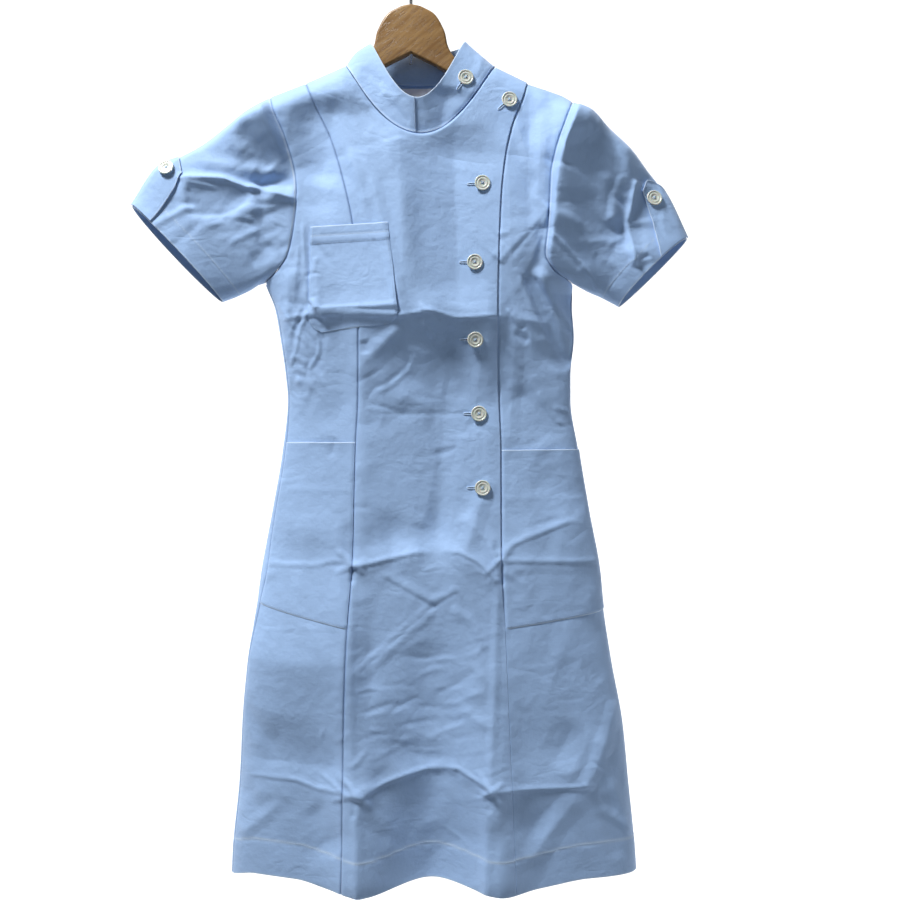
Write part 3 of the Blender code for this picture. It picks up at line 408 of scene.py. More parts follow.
# Lines pressed into the dress where it was folded flat
PRESSED_LINES = (
    *fold_lines(
        (15, 3.4, (-140, -459), (-92, -454), (-11, -458), (23, -453)),
        (15, 3.6, (23, -453), (58, -461), (100, -458)),
        (10, 1.9, (-166, -745), (-114, -745), (-83, -740), (-65, -744)),
        (14, 3.6, (-62, -746), (-34, -739), (9, -729)), (12, 3.2, (55, -728), (83, -744), (97, -761)),
        (8, 2.4, (104, -731), (119, -721), (141, -711), (184, -695)), (9, 2.2, (104, -739), (216, -742)),
        (13, 2.8, (-181, -986), (-133, -988), (-105, -996), (-62, -1000)),
        (14, 4.2, (-56, -1003), (-22, -986), (25, -974)), (12, 3.8, (53, -973), (90, -992)),
        (16, 4.2, (94, -996), (202, -997))),
    Crease(-62, -748, 12, -730, 19, 1.2, 2.3, shape=Shape.FACET, tip=0.6),
    *creases(Shape.FACET,
        (118, -459, 160, -466, 9, 2.4), (9, -729, 55, -728, 12, 1.2), (54, -730, 97, -764, 15, 1.5, 1.5),
        (25, -973, 53, -973, 10, 1.6), (217, -1022, 256, -1052, 8, 2), (232, -992, 257, -1060, 9, 2.4),
        (-60, -1000, -57, -1130, 9, 2.4, 3.2), (89, -996, 85, -1130, 9, 2.2, 2.8)),
    *creases(Shape.SOFT, (-47, -570, 66, -570, 2.6, -0.5)),
    *bent_creases(Shape.SOFT,
        (3, -1, (-31, -759), (27, -791), (55, -775)), (3, -1.1, (27, -791), (-16, -829), (-56, -866))),
    *bent_creases(Shape.FACET,
        (9, 1.3, (-31, -755), (27, -787), (55, -771)), (10, 1.6, (24, -795), (-19, -833), (-58, -869)),
        (7, 1.3, (48, -792), (70, -807), (86, -838)), (12, 2.8, (200, -997), (215, -976), (239, -906)),
        (7, 1.1, (-66, -760), (-66, -900), (-64, -1000)), (7, 1.6, (101, -766), (96, -899), (90, -990))),
)

# Places where pressed lines cross and the cloth stands up in points
CROSSINGS = (
    *creases(Shape.FACET,
        (-82, -728, -54, -752, 5, 1.8), (-84, -753, -50, -738, 4, 1.6), (92, -720, 106, -756, 5, 2),
        (86, -754, 116, -726, 4, 1.8), (108, -750, 142, -776, 6, 1.5, 0.5),
        (-76, -982, -44, -1012, 5, 2.2), (-86, -1008, -42, -990, 5, 1.8), (-100, -980, -74, -998, 4, 1.4),
        (78, -976, 102, -1010, 5, 2.2), (76, -1006, 106, -986, 4, 1.8), (12, -446, 34, -463, 4, 1.6),
        (14, -466, 26, -482, 4, 1.4), (112, -450, 128, -468, 4, 1.6)),
    *creases(Shape.SOFT,
        (-64, -746, -66, -764, 3, -1.8), (104, -748, 106, -766, 3, -1.8),
        (-60, -1004, -62, -1024, 3.5, -2), (90, -1000, 90, -1018, 3.5, -2)),
)

# Soft hollows and swells of the hanging cloth
SOFT_FORMS = (
    Fold(((-66, -461), (-10, -463), (60, -463), (98, -461)), 40, 150, 4.5, 0, 20),
    *creases(Shape.FACET,
        (-44, -296, -11, -440, 10, 2.4, 3), (50, -244, 56, -440, 60, -12.5, -7),
        (-58, -204, -30, -235, 8, 1.5), (-70, -262, -48, -330, 9, 1.9),
        (-104, -204, -58, -300, 12, 2, 1.4), (-210, -236, -60, -190, 68, 12, 11),
        (-88, -210, -104, -300, 46, -8, -5), (124, -232, 141, -292, 8, 2, 1),
        (152, -225, 146, -330, 12, 2.2, 1.2), (122, -470, 114, -612, 12, 1.9, 1.2),
        (-12, -470, -44, -500, 9, 1.8, 1.2), (-10, -476, -62, -520, 16, 2.4, 1.4),
        (82, -480, 78, -556, 18, 2.2, 1.4), (60, -690, 96, -722, 13, 2.2, 1.8),
        (88, -650, 66, -724, 13, 2.4, 2.6), (-230, -850, -60, -858, 110, 16, 16),
        (-178, -1004, -136, -1008, 16, 2, 1.2), (-196, -1056, -150, -1018, 10, 2.4, 1.8),
        (134, -1078, 190, -1008, 17, 3.4, 2.8), (-34, -880, -20, -950, 18, 1.8, 1.2)),
    *creases(Shape.PRESSED,
        (-30, -238, 20, -466, 40, 9.5, 6), (-52, -478, -56, -724, 30, 5, 5),
        (44, -476, 30, -724, 44, -12, -10)),
    *creases(Shape.SOFT,
        (-120, -215, -104, -340, 20, -5, -3.4), (-53, -487, -50, -500, 6, -1.6),
        (-52, -716, 40, -702, 26, -3.4, -3), (130, -540, 160, -600, 20, -3.4, -2.6),
        (-150, -700, -76, -708, 22, 2.4, 1.8), (-165, -945, -80, -968, 26, -2.6, -2.6),
        (-110, -1020, -78, -1062, 14, -2.4, -1.4), (118, -946, 212, -936, 30, -2.4, -2),
        (108, -1018, 158, -1040, 22, -3.2, -1.6), (224, -1012, 240, -1080, 11, -2.2),
        (20, -836, 34, -930, 28, -2.6, -2.2), (150, -640, 200, -680, 22, -2.4, -1.6),
        (-140, -480, -90, -560, 24, 2.2, 1.6)),
    *bent_creases(Shape.PRESSED,
        (2.6, -0.8, (1, -500), (-5, -517), (-28, -536), (-43, -541), (-51, -556)),
        (11, 1.5, (44, -508), (34, -552), (33, -600), (24, -655), (14, -700))),
    *bent_creases(Shape.FACET, (4, 0.6, (5, -502), (-1, -520), (-26, -540), (-40, -545))),
)

# Crumpled places under both arms and the short sharp creases round them
SHARP_CREASES = (
    Crease(-140, -505, -121, -512, 3.5, 1.2, bow=-3),
    Crease(-138, -518, -122, -524, 3.5, 1.1, bow=-3),
    Crease(-134, -532, -116, -536, 3.5, 0.9, bow=-2),
    Crease(160, -326, 121, -430, 12, 2, 1, shape=Shape.LAP, bow=-4),
    *creases(Shape.FACET,
        (-124, -350, -120, -440, 3.5, 1, 1.2), (-130, -380, -134, -440, 4, 1),
        (155, -345, 112, -402, 6, 1.1, 0.5), (180, -420, 184, -512, 40, -10, -8),
        (168, -562, 188, -568, 4, 1), (170, -578, 188, -586, 4, 1), (150, -548, 168, -575, 5, 0.9),
        (112, -494, 130, -516, 5, 1)),
    *creases(Shape.PRESSED, (-118, -352, -114, -430, 3, -1, -1.2)),
    *creases(Shape.SOFT,
        (121, -457, 131, -472, 3.5, -1.6), (122, -476, 136, -486, 4.5, -1.8),
        (152, -350, 150, -404, 7, -3.4, -2.6)),
    *bent_creases(Shape.FACET,
        (3, 1, (-155, -442), (-144, -458), (-137, -469)),
        (3, 1, (-116, -445), (-121, -458), (-128, -472), (-132, -493), (-140, -514)),
        (3, 0.9, (-126, -446), (-134, -462), (-140, -478)),
        (3, 0.9, (-106, -482), (-106, -500), (-117, -517)),
        (3.5, 1, (-108, -390), (-114, -417), (-110, -434)),
        (5, 1.9, (148, -410), (158, -427), (168, -442), (191, -468)),
        (5, 1.5, (127, -413), (135, -433), (147, -459), (161, -487))),
    *bent_creases(Shape.PRESSED,
        (2.6, -0.9, (-121, -442), (-127, -459), (-134, -474), (-138, -494)),
        (2.6, -0.7, (-101, -480), (-101, -501), (-112, -519)),
        (3, -0.8, (-112, -452), (-106, -468), (-104, -484)),
        (3, -1.6, (144, -412), (154, -430), (164, -446), (186, -472)),
        (3.5, -1.8, (132, -411), (140, -431), (152, -457), (166, -484), (186, -514)),
        (3, -0.7, (157, -338), (140, -361), (118, -385))),
    *bent_creases(Shape.LAP, (18, 2.2, (160, -331), (138, -356), (115, -379), (103, -394))),
)

# Creases of both sleeves
SLEEVE_CREASES = (
    Fold(((-262, -295), (-222, -297), (-192, -306), (-180, -309)), 4, 30, 11, 0.2, 12),
    Fold(((-182, -308), (-165, -312), (-138, -320)), 4, 9, 7, 0.2, 12),
    Fold(((-256, -338), (-222, -339), (-187, -326), (-160, -328), (-141, -325)), 24, 4, -3, 0, 12),
    Fold(((150, -300), (200, -306), (256, -300)), 150, 62, 7.5, 0, 14),
    *creases(Shape.SOFT,
        (-270, -300, -150, -312, 15, 8.6, 5), (-255, -340, -165, -326, 12, -4, -3),
        (-193, -238, -164, -286, 9, -3.2, -2.2), (-224, -308, -262, -300, 2.6, 1.4),
        (-258, -309, -256, -329, 4, -1.8), (-186, -392, -160, -376, 9, -2),
        (-212, -350, -188, -392, 14, 1.2), (262, -392, 278, -386, 3, -2)),
    *creases(Shape.FACET,
        (-318, -282, -150, -190, 62, 6, 5), (-178, -218, -150, -268, 8, 2.4, 1.6),
        (-206, -250, -180, -296, 9, 2.2, 1.6), (-256, -329, -298, -350, 6, 1.6),
        (-216, -341, -184, -344, 4.5, 1.2), (-210, -372, -176, -356, 5, 1.3),
        (-236, -352, -216, -348, 4.5, 1.1), (232, -314, 258, -320, 5, 1.2), (236, -320, 254, -346, 5, 1.2),
        (230, -226, 256, -370, 62, -10, -9), (170, -214, 284, -284, 84, 14.5, 11),
        (166, -344, 196, -352, 9, 1.6, 1), (196, -372, 236, -368, 7, 1.4, 0.9),
        (228, -376, 250, -362, 5, 1.2), (240, -262, 264, -300, 8, 1.4, 1)),
    *creases(Shape.PRESSED,
        (-178, -366, -150, -352, 5, -1.3), (168, -329, 216, -322, 5, -1.4, -0.8),
        (214, -386, 240, -384, 5, -1.1)),
    *creases(Shape.LAP, (164, -392, 182, -222, 45, 5, 7)),
    *bent_creases(Shape.FACET,
        (3.8, 2.4, (161, -363), (175, -373), (198, -396), (221, -426)),
        (8, 1.6, (246, -294), (236, -318), (234, -345))),
    *bent_creases(Shape.PRESSED,
        (3, -1.2, (160, -368), (173, -379), (195, -402)), (5, -1.6, (240, -292), (229, -318), (227, -345))),
    *bent_creases(Shape.LAP, (15, 6.5, (262, -396), (253, -348), (263, -300))),
)

# Marks that buttons and pocket seams pressed through the cloth
IMPRINTS = creases(Shape.SOFT, (-128, -556, -128, -568, 5, 0.6), (52, -796, 56, -808, 5, 0.6))

FRONT_CREASES = (
    *PRESSED_LINES, *CROSSINGS, *SOFT_FORMS, *SHARP_CREASES, *SLEEVE_CREASES, *IMPRINTS, *scattered(
        Rumple(11, 70, (-190, 240), (-1080, -480), 90, 80, (24, 80), (8, 22), 0.13),
        Rumple(15, 46, (-190, 240), (-1080, -200), 20, 60, (12, 36), (3.2, 6), 0.27),
        Rumple(16, 30, (-60, 90), (-960, -840), 12, 14, (20, 50), (3, 5), 0.22),
        Rumple(12, 44, (-310, -150), (-420, -240), 20, width=(2.8, 7.5), height=0.15),
        Rumple(13, 40, (165, 310), (-420, -240), 120, width=(2.8, 7.5)),
        Rumple(14, 26, (-150, -100), (-560, -430), 100, length=(10, 28), width=(3, 5), height=0.3)),
)
BACK_CREASES = (
    *bent_creases(Shape.PRESSED,
        (11, 3.2, (-150, -470), (-60, -462), (30, -466), (120, -458), (186, -468)),
        (8, 2.4, (-150, -742), (-40, -736), (60, -744), (215, -738)),
        (9, 3.2, (-200, -990), (-80, -1000), (30, -976), (120, -996), (250, -992))),
    *creases(Shape.PRESSED,
        (-78, -860, -80, -1110, 7, 2.2, 3), (122, -860, 126, -1110, 7, 2.2, 3),
        (12, -260, 10, -720, 7, 1.6)),
    *creases(Shape.SOFT,
        (-146, -330, -104, -470, 6, 3.2, 1.6), (170, -330, 120, -470, 6, 3.2, 1.6),
        (-120, -230, -80, -330, 12, 2.6, 1.4), (146, -230, 110, -330, 12, 2.6, 1.4),
        (-60, -520, -20, -690, 26, -3.6, -2.8), (70, -540, 90, -700, 22, 3.2, 2.4),
        (-150, -940, -60, -960, 28, -4.2, -3.6), (110, -950, 210, -930, 28, -4.2, -3.6),
        (-88, -730, -62, -752, 3, 2.4), (112, -986, 136, -1006, 3.5, 2.6),
        (-94, -990, -64, -1010, 3.5, 2.6)),
    *creases(Shape.STEP, (-268, -300, -150, -330, 6, 2.8, 1.8), (300, -330, 176, -330, 6, 2.8, 1.8)),
    *scattered(
        Rumple(21, 80, (-170, 210), (-1080, -240), 90, 80, (24, 80), (7, 18), 0.11),
        Rumple(24, 50, (-190, 240), (-1080, -200), 20, 60, (12, 36), (5, 8), 0.18),
        Rumple(22, 34, (-310, -150), (-420, -240), 20, width=(4, 10), height=0.18),
        Rumple(23, 34, (165, 310), (-420, -240), 120, width=(4, 10), height=0.18)),
)


@dataclass(frozen=True)
class DressForm:
    """Flattened tube of the body: left and right side and depth on front and back, by height.

    Its roundness is the power of the sections' rounded corners, and girth_ratio their usual depth by width.
    Folds and creases grow to full height where the depth passes fold_start and crease_start of its largest.
    """

    heights: Row = (-150, -200, -260, -330, -380, -416, -446, -479, -524, -553, -612, -683,
                    -754, -790, -860, -931, -1002, -1073, -1120)
    left: Row = (-192, -192, -191, -188, -180, -171.5, -160, -154, -147.5, -145, -151, -163,
                 -176, -180.5, -191, -198, -202, -209, -211)
    right: Row = (214, 214, 212, 210, 203, 191, 190, 192, 188, 188, 197, 209, 222, 225.5, 236,
                  249, 256, 263, 266)
    front: Row = (19, 24, 30, 36, 39, 40, 39, 36, 31, 29, 32, 39, 46, 49, 53, 57, 60, 62, 63)
    back: Row = (18, 21, 24, 27, 28, 29, 29, 28, 26, 25, 28, 32, 36, 38, 42, 46, 50, 54, 56)
    roundness: float = 2.4
    shoulder_x: Row = (-260, -171, -124, -76.5, 99, 140, 178, 190, 280)
    shoulder_z: Row = (-238, -200, -181.5, -160.5, -161, -181, -195.5, -203, -250)
    girth_ratio: float = 0.21
    fold_start: float = 0.6
    crease_start: float = 0.25
    normal_step: float = 0.4
    girth_places: tuple[int, int] = (401, 361)

    def column(self, name: str, z: Array) -> Array:
        """One column of the section table at heights."""
        return Line(self.heights, getattr(self, name))(z)

    def middle_half(self, z: Array) -> tuple[Array, Array]:
        """Middle and half width at heights."""
        left, right = self.column("left", z), self.column("right", z)
        return (left + right) / 2.0, (right - left) / 2.0

    def shoulder(self, x: Array) -> Array:
        """Height of the shoulder line, bridged over the neck."""
        return np.interp(x, self.shoulder_x, self.shoulder_z)

    def turn(self, x: Array, z: Array, behind: bool = False) -> Array:
        """Angle round the tube of places in the front view, negative on the back."""
        middle, half = self.middle_half(z)
        across = np.clip((x - middle) / half, -1.0, 1.0)
        turn = np.degrees(np.arccos(-np.sign(across) * np.abs(across) ** (self.roundness / 2.0)))
        return -turn if behind else turn

    def side(self, turn: Array) -> tuple[Array, Array]:
        """Share of the half width and of the depth at an angle."""
        across, out = -np.cos(np.radians(turn)), np.sin(np.radians(turn))
        power = 2.0 / self.roundness
        return np.sign(across) * np.abs(across) ** power, np.abs(out) ** power

    def across(self, turn: Array, z: Array) -> Array:
        """Place across the front view at an angle."""
        middle, half = self.middle_half(z)
        return middle + half * self.side(turn)[0]

    def point(self, turn: Array, z: Array, creased: bool = False) -> Array:
        """Outer face of the dress.

        Args:
            turn: Angles round the tube.
            z: Heights.
            creased: Whether the creases lie on the face, beside the largest folds.

        Returns:
            Points, with x, y and z in the last axis.
        """
        turn, z = together(turn, z)
        middle, half = self.middle_half(z)
        across, profile = self.side(turn)
        x = middle + half * across
        below = np.clip((self.shoulder(x) - z) / SHOULDER_ROUND, 0.0, 1.0)
        arch = np.sqrt(1.0 - (1.0 - below) ** 2)
        behind = np.sin(np.radians(turn)) < 0.0
        depth = np.where(behind, self.column("back", z), self.column("front", z)) * profile
        depth = depth + sided(behind, BACK_FOLDS, FRONT_FOLDS, x, z) * ease(profile, 0.0, self.fold_start)
        if creased:
            fine = sided(behind, BACK_CREASES, FRONT_CREASES, x, z)
            depth = depth + fine * ease(profile, 0.0, self.crease_start)
        return np.stack([x, np.where(behind, depth, -depth) * arch, z], axis=-1)

    def normal(self, turn: Array, z: Array) -> Array:
        """Direction out of the dress."""
        step = self.normal_step
        around = self.point(turn + step, z) - self.point(turn - step, z)
        down = self.point(turn, z - step) - self.point(turn, z)
        return unit(np.cross(down, around))

    def girth(self) -> tuple[Array, Array]:
        """Angles round one side of the tube, and the way along the cloth to each of them."""
        even = np.linspace(-1.0, 1.0, self.girth_places[0])
        level = np.degrees(np.arccos(-np.sign(even) * np.abs(even) ** (self.roundness / 2.0)))
        turns = np.unique(np.concatenate([level, np.linspace(0.0, 180.0, self.girth_places[1])]))
        across, profile = self.side(turns)
        way = route_way(np.stack([across, profile * self.girth_ratio], axis=-1))
        turns = np.concatenate([-turns[::-1], turns[1:], turns[1:] + 180.0])
        return turns, np.concatenate([-way[::-1], way[1:], way[1:] + way[-1]])


FORM = DressForm()
GIRTH_TURNS, GIRTH_WAY = FORM.girth()

PRINCESS_SEAM = Line(
    at=(-181.3, -214, -250, -298, -346, -416, -476, -553, -612, -740, -816, -880, -960, -1120),
    value=(-123.5, -110, -93, -78, -67, -58.5, -59.5, -60.5, -63.5, -66, -71, -73, -75, -76.5))
OVERLAP_EDGE = Line(
    at=(-179.5, -200, -232, -265, -318, -392, -450, -510, -580, -612, -740, -812, -930, -1120),
    value=(137, 131, 118.5, 110.5, 104.5, 101.5, 100.5, 101, 103.5, 104.5, 104.5, 109, 114, 121))
UNDERLAP_EDGE = Line(at=(-162, -187, -218, -262, -330, -450, -700), value=(101.5, 99.5, 92, 80, 68, 62, 64))
UNDERLAP_TAPER = (-700.0, -752.0)
SINK_FADE = (-752.0, -820.0)
ARMHOLE_LEFT_FRONT = Line(at=(-197.4, -222, -250, -296, -318, -352, -387, -404, -416),
                          value=(-165, -157, -145, -133.5, -132, -135, -143, -156, -170.5))
ARMHOLE_LEFT_BACK = Line(at=(-197.4, -240, -290, -340, -380, -402, -416),
                         value=(-165, -155, -147, -146, -152, -162, -171.2))
ARMHOLE_RIGHT_FRONT = Line(at=(-203, -232, -264, -293, -325, -358, -384, -402, -416),
                           value=(190, 179, 168, 162, 160.5, 158.5, 156, 165, 189))
ARMHOLE_RIGHT_BACK = Line(at=(-203, -240, -290, -340, -380, -403, -416),
                          value=(190, 180, 173, 171, 174, 182, 190.5))
SIDE_SEAM_LEFT = Line(at=(-416, -470, -553, -612, -690, -754, -790, -860, -1120),
                      value=(6, 11, 9, 14, 15, 19, 15, 10, 9))
SIDE_SEAM_RIGHT = Line(at=(-416, -470, -553, -1120), value=(175, 182, 184, 185))
HEM = Line(at=(-212, -178, -130, -95, -56, 25, 106, 150, 205, 267),
           value=(-1107, -1099, -1101, -1108, -1113, -1100, -1113, -1109, -1102, -1103))


def neck_sine(x: Array) -> Array:
    """1 in the middle of the neck, 0 at and beyond both neck points."""
    middle, half = (NECK_LEFT + NECK_RIGHT) / 2.0, (NECK_RIGHT - NECK_LEFT) / 2.0
    return np.sqrt(np.clip(1.0 - ((x - middle) / half) ** 2, 0.0, None))


def front_top(x: Array) -> Array:
    """Upper edge of the front: shoulder, neckline, shoulder."""
    depth, squareness = FRONT_NECK
    return FORM.shoulder(x) - SHOULDER_START - depth * neck_sine(x) ** squareness


def back_top(x: Array) -> Array:
    """Upper edge of the back."""
    depth, squareness = BACK_NECK
    return FORM.shoulder(x) - SHOULDER_START - depth * neck_sine(x) ** squareness


def seam_turn(seam: Line, z: Array, aside: float = 0.0) -> Array:
    """Angle of a seam that is drawn in the front view, moved sideways."""
    return FORM.turn(seam(z) + aside, z)


def side_turn(armhole: Line, side_seam: Line, behind: bool, z: Array) -> Array:
    """Angle of a panel's outer edge: the armhole, then the side seam below the armpit."""
    return np.where(z > ARMPIT, FORM.turn(armhole(z), z, behind), side_seam(z))


def back_right(z: Array) -> Array:
    """Outer edge of the back, right in the front view, counted backwards round the tube."""
    turn = side_turn(ARMHOLE_RIGHT_BACK, SIDE_SEAM_RIGHT, True, z)
    return np.where(turn > 0.0, turn - 360.0, turn)


# Outer edges of the right side front and of the back, left in the front view, and of the left side front
right_front_outer = partial(side_turn, ARMHOLE_LEFT_FRONT, SIDE_SEAM_LEFT, False)
back_left = partial(side_turn, ARMHOLE_LEFT_BACK, SIDE_SEAM_LEFT, True)
left_front_outer = partial(side_turn, ARMHOLE_RIGHT_FRONT, SIDE_SEAM_RIGHT, False)


def underlap_edge(z: Array) -> Array:
    """Left edge of the left side front: under the overlap, then along its seam."""
    hidden, seam = FORM.turn(UNDERLAP_EDGE(z), z), seam_turn(OVERLAP_EDGE, z, SEAM_GAP)
    return mix(hidden, seam, 1.0 - ease(z, UNDERLAP_TAPER[1], UNDERLAP_TAPER[0]))


def sink_under_overlap(turn: Array, z: Array) -> Array:
    """How far the left side front lies under the overlap's level."""
    edge, outer = seam_turn(OVERLAP_EDGE, z), left_front_outer(z)
    near = 1.0 - ease(turn, edge + 0.1, edge + UNDERLAP_RISE)
    far = 1.0 - ease(turn, edge, outer - UNDERLAP_REACH)
    return UNDERLAP_SINK * mix(far, near, UNDERLAP_SLOPE) * ease(z, SINK_FADE[1], SINK_FADE[0])


def girth_mix(left: Array, right: Array, share: Array) -> Array:
    """Angle at a share of the way along the cloth between two angles."""
    way = mix(np.interp(left, GIRTH_TURNS, GIRTH_WAY), np.interp(right, GIRTH_TURNS, GIRTH_WAY), share)
    return np.interp(way, GIRTH_WAY, GIRTH_TURNS)


def pitched(length: float, pitch: float, fine: tuple[bool, bool] = (True, True)) -> Array:
    """Shares along a length at a steady pitch, closer together at its fine ends.

    Args:
        length: Length in millimetres.
        pitch: Usual distance.
        fine: Whether the start and the end are fine.

    Returns:
        Shares from 0 to 1.
    """
    near = np.array(EDGE_STEPS)
    start = near if fine[0] else near[:1]
    end = length - near[::-1] if fine[1] else np.array([length])
    count = max(2, round((end[0] - start[-1]) / pitch))
    middle = np.linspace(start[-1], end[0], count + 1)[1:-1]
    return np.concatenate([start, middle, end]) / length


@dataclass
class Cloth:
    """Grid of cloth points, rows from top to foot and columns from left to right.

    Args:
        points: Outer face, as rows, columns and x, y, z.
        outward: Rough direction out of the cloth at its middle.
    """

    points: Array
    outward: Triple = (0.0, -1.0, 0.0)
    # Painted highlight (positive) and painted shade (negative) at every point
    painted_light: Array = field(init=False)
    normals: Array = field(init=False)
    turned: bool = field(init=False)

    def __post_init__(self) -> None:
        """Measure the grid before anything is laid on it."""
        self.painted_light = np.zeros(self.points.shape[:2])
        self.normals = self.directions()
        self.left = self.way(1)
        self.right = self.left[:, -1:] - self.left
        self.top = self.way(0)
        self.foot = self.top[-1:, :] - self.top

    def directions(self) -> Array:
        """Outward normal at every point."""
        normals = unit(np.cross(np.gradient(self.points, axis=1), np.gradient(self.points, axis=0)))
        rows, columns = self.points.shape[:2]
        flip = np.sign(normals[rows // 2, columns // 2] @ np.array(self.outward))
        self.turned = bool(flip < 0.0)
        return normals * flip

    def way(self, axis: int) -> Array:
        """Distance along the cloth from its first row or column."""
        steps = np.linalg.norm(np.diff(self.points, axis=axis), axis=2)
        way = np.cumsum(steps, axis=axis)
        return np.insert(way, 0, 0.0, axis=axis)

    def raise_by(self, height: Array) -> None:
        """Move the points out along their normals."""
        self.points = self.points + self.normals * np.asarray(height)[..., None]

    def mark(self, distance: Array, at: float, amount: Array | float, width: float = 0.9) -> None:
        """Painted highlight (positive) or painted shade (negative) along a line at a distance from an edge.
        """
        self.painted_light = self.painted_light + amount * bell(distance - at, width)

    def seam(self, distance: Array, depth: float = 0.9, width: float = 1.0, deep: float = 0.55) -> None:
        """Groove where the cloth turns in at a sewn edge, with the allowance's swell beside it and painted
        shade along the groove.
        """
        allowance, swell = 5.0, 0.12
        self.raise_by(swell * bell(distance - allowance, allowance / 2.0) - depth * bell(distance, width))
        # deep is how much painted shade darkens the groove
        self.mark(distance, 0.0, -deep, 1.1)

    def roll(self, distance: Array, radius: float = CLOTH / 2.0, painted_edge_light: float = 1.0) -> None:
        """Round off a folded edge, with a painted highlight along it (positive amount) or painted shade
        (negative).
        """
        inside = np.clip(1.0 - distance / radius, 0.0, 1.0)
        self.raise_by(-radius * (1.0 - np.sqrt(1.0 - inside ** 2)) * 0.8)
        self.mark(distance, 0.0, painted_edge_light)

    def stitch_groove(self, distance: Array, at: float, depth: float = 0.3) -> None:
        """Line that stitches draw into the cloth."""
        self.raise_by(-depth * bell(distance - at, 1.1))

    def band(self, distance: Array, width: float, height: float) -> None:
        """Second layer of a turned-in edge, which lifts the cloth over it."""
        self.raise_by(height * (1.0 - ease(distance, width - 1.0, width + 1.5)))

    def trace(self, distance: Array, at: float, across: bool) -> tuple[Array, Array]:
        """Line on the cloth at one distance from an edge.

        Args:
            distance: Distance from the edge at every point.
            at: Distance of the line.
            across: Whether the line crosses the columns, or else the rows.

        Returns:
            Points and outward normals along the line.
        """
        field_ = distance if across else distance.T
        points = self.points if across else self.points.transpose(1, 0, 2)
        normals = self.normals if across else self.normals.transpose(1, 0, 2)
        places = np.arange(field_.shape[0], dtype=float)
        rising = field_[-1, 0] > field_[0, 0]
        line, out = [], []
        for index in range(field_.shape[1]):
            keys = field_[:, index] if rising else field_[::-1, index]
            spot = np.interp(at, keys, places if rising else places[::-1])
            low = min(int(spot), field_.shape[0] - 2)
            line.append(mix(points[low, index], points[low + 1, index], spot - low))
            out.append(mix(normals[low, index], normals[low + 1, index], spot - low))
        return np.array(line), unit(np.array(out))

    def mesh(self, name: str, closed: bool = False) -> Mesh:
        """Mesh of the outer face, with its cut as a UV map.

        Args:
            name: Name of the mesh.
            closed: Whether the first and the last column meet and are welded.

        Returns:
            The mesh, facing out.
        """
        rows, columns = self.points.shape[:2]
        bm = bmesh.new()
        bmesh.ops.create_grid(bm, x_segments=columns - 1, y_segments=rows - 1, size=1.0)
        mesh = bpy.data.meshes.new(name)
        bm.to_mesh(mesh)
        mesh.vertices.foreach_set("co", (self.points * MM).reshape(-1))
        corners = np.empty(len(mesh.loops), np.int32)
        mesh.loops.foreach_get("vertex_index", corners)
        flat = np.stack([self.left - self.left[:, columns // 2][:, None], -self.top], axis=-1) * MM
        mesh.uv_layers.new(name=UV_MAP).uv.foreach_set("vector", flat.reshape(-1, 2)[corners].reshape(-1))
        # Painted highlights and painted shade go into the mesh as a point attribute
        painted_light = mesh.attributes.new(PAINTED_LIGHT_ATTRIBUTE, "FLOAT", "POINT")
        painted_light.data.foreach_set("value", np.clip(self.painted_light, -1.0, 1.0).reshape(-1))
        if self.turned:
            mesh.flip_normals()
        if closed:
            bm.clear()
            bm.from_mesh(mesh)
            bmesh.ops.remove_doubles(bm, verts=bm.verts, dist=0.02 * MM)
            bm.to_mesh(mesh)
        bm.free()
        mesh.shade_smooth()
        return mesh


@dataclass(frozen=True)
class Cut:
    """Flat cut of one piece of cloth.

    Args:
        width: Width in millimetres; not used.
        length: Length in millimetres; not used.
        area: Share of that rectangle that the cut fills; not used.
    """

    width: float
    length: float
    area: float = 1.0


def link(item: bpy.types.Object) -> None:
    """Put an object into the scene."""
    bpy.context.scene.collection.objects.link(item)


def final_mesh(item: bpy.types.Object) -> Mesh:
    """New mesh of an object with its modifiers, or of a curve with its thickness."""
    bpy.context.view_layer.update()
    graph = bpy.context.evaluated_depsgraph_get()
    return bpy.data.meshes.new_from_object(item.evaluated_get(graph))


def weld(mesh: Mesh, distance: float) -> None:
    """Merge points closer than a distance in millimetres, turn the faces outwards and shade them smooth."""
    bm = bmesh.new()
    bm.from_mesh(mesh)
    bmesh.ops.remove_doubles(bm, verts=bm.verts, dist=distance * MM)
    bmesh.ops.recalc_face_normals(bm, faces=bm.faces)
    bm.to_mesh(mesh)
    bm.free()
    mesh.shade_smooth()


def curve_mesh(name: str, curve: bpy.types.Curve, distance: float = 0.001) -> Mesh:
    """Closed mesh of a curve with its thickness, its points merged up to a distance."""
    blank = bpy.data.objects.new(name, curve)
    link(blank)
    mesh = final_mesh(blank)
    bpy.data.objects.remove(blank)
    mesh.name = name
    weld(mesh, distance)
    return mesh


def add_spline(curve: bpy.types.Curve, route: Array) -> bpy.types.Spline:
    """Straight runs through a route's points, added to a curve."""
    spline = curve.splines.new("POLY")
    spline.points.add(len(route) - 1)
    spline.points.foreach_set("co", np.column_stack([route * MM, np.ones(len(route))]).reshape(-1))
    return spline


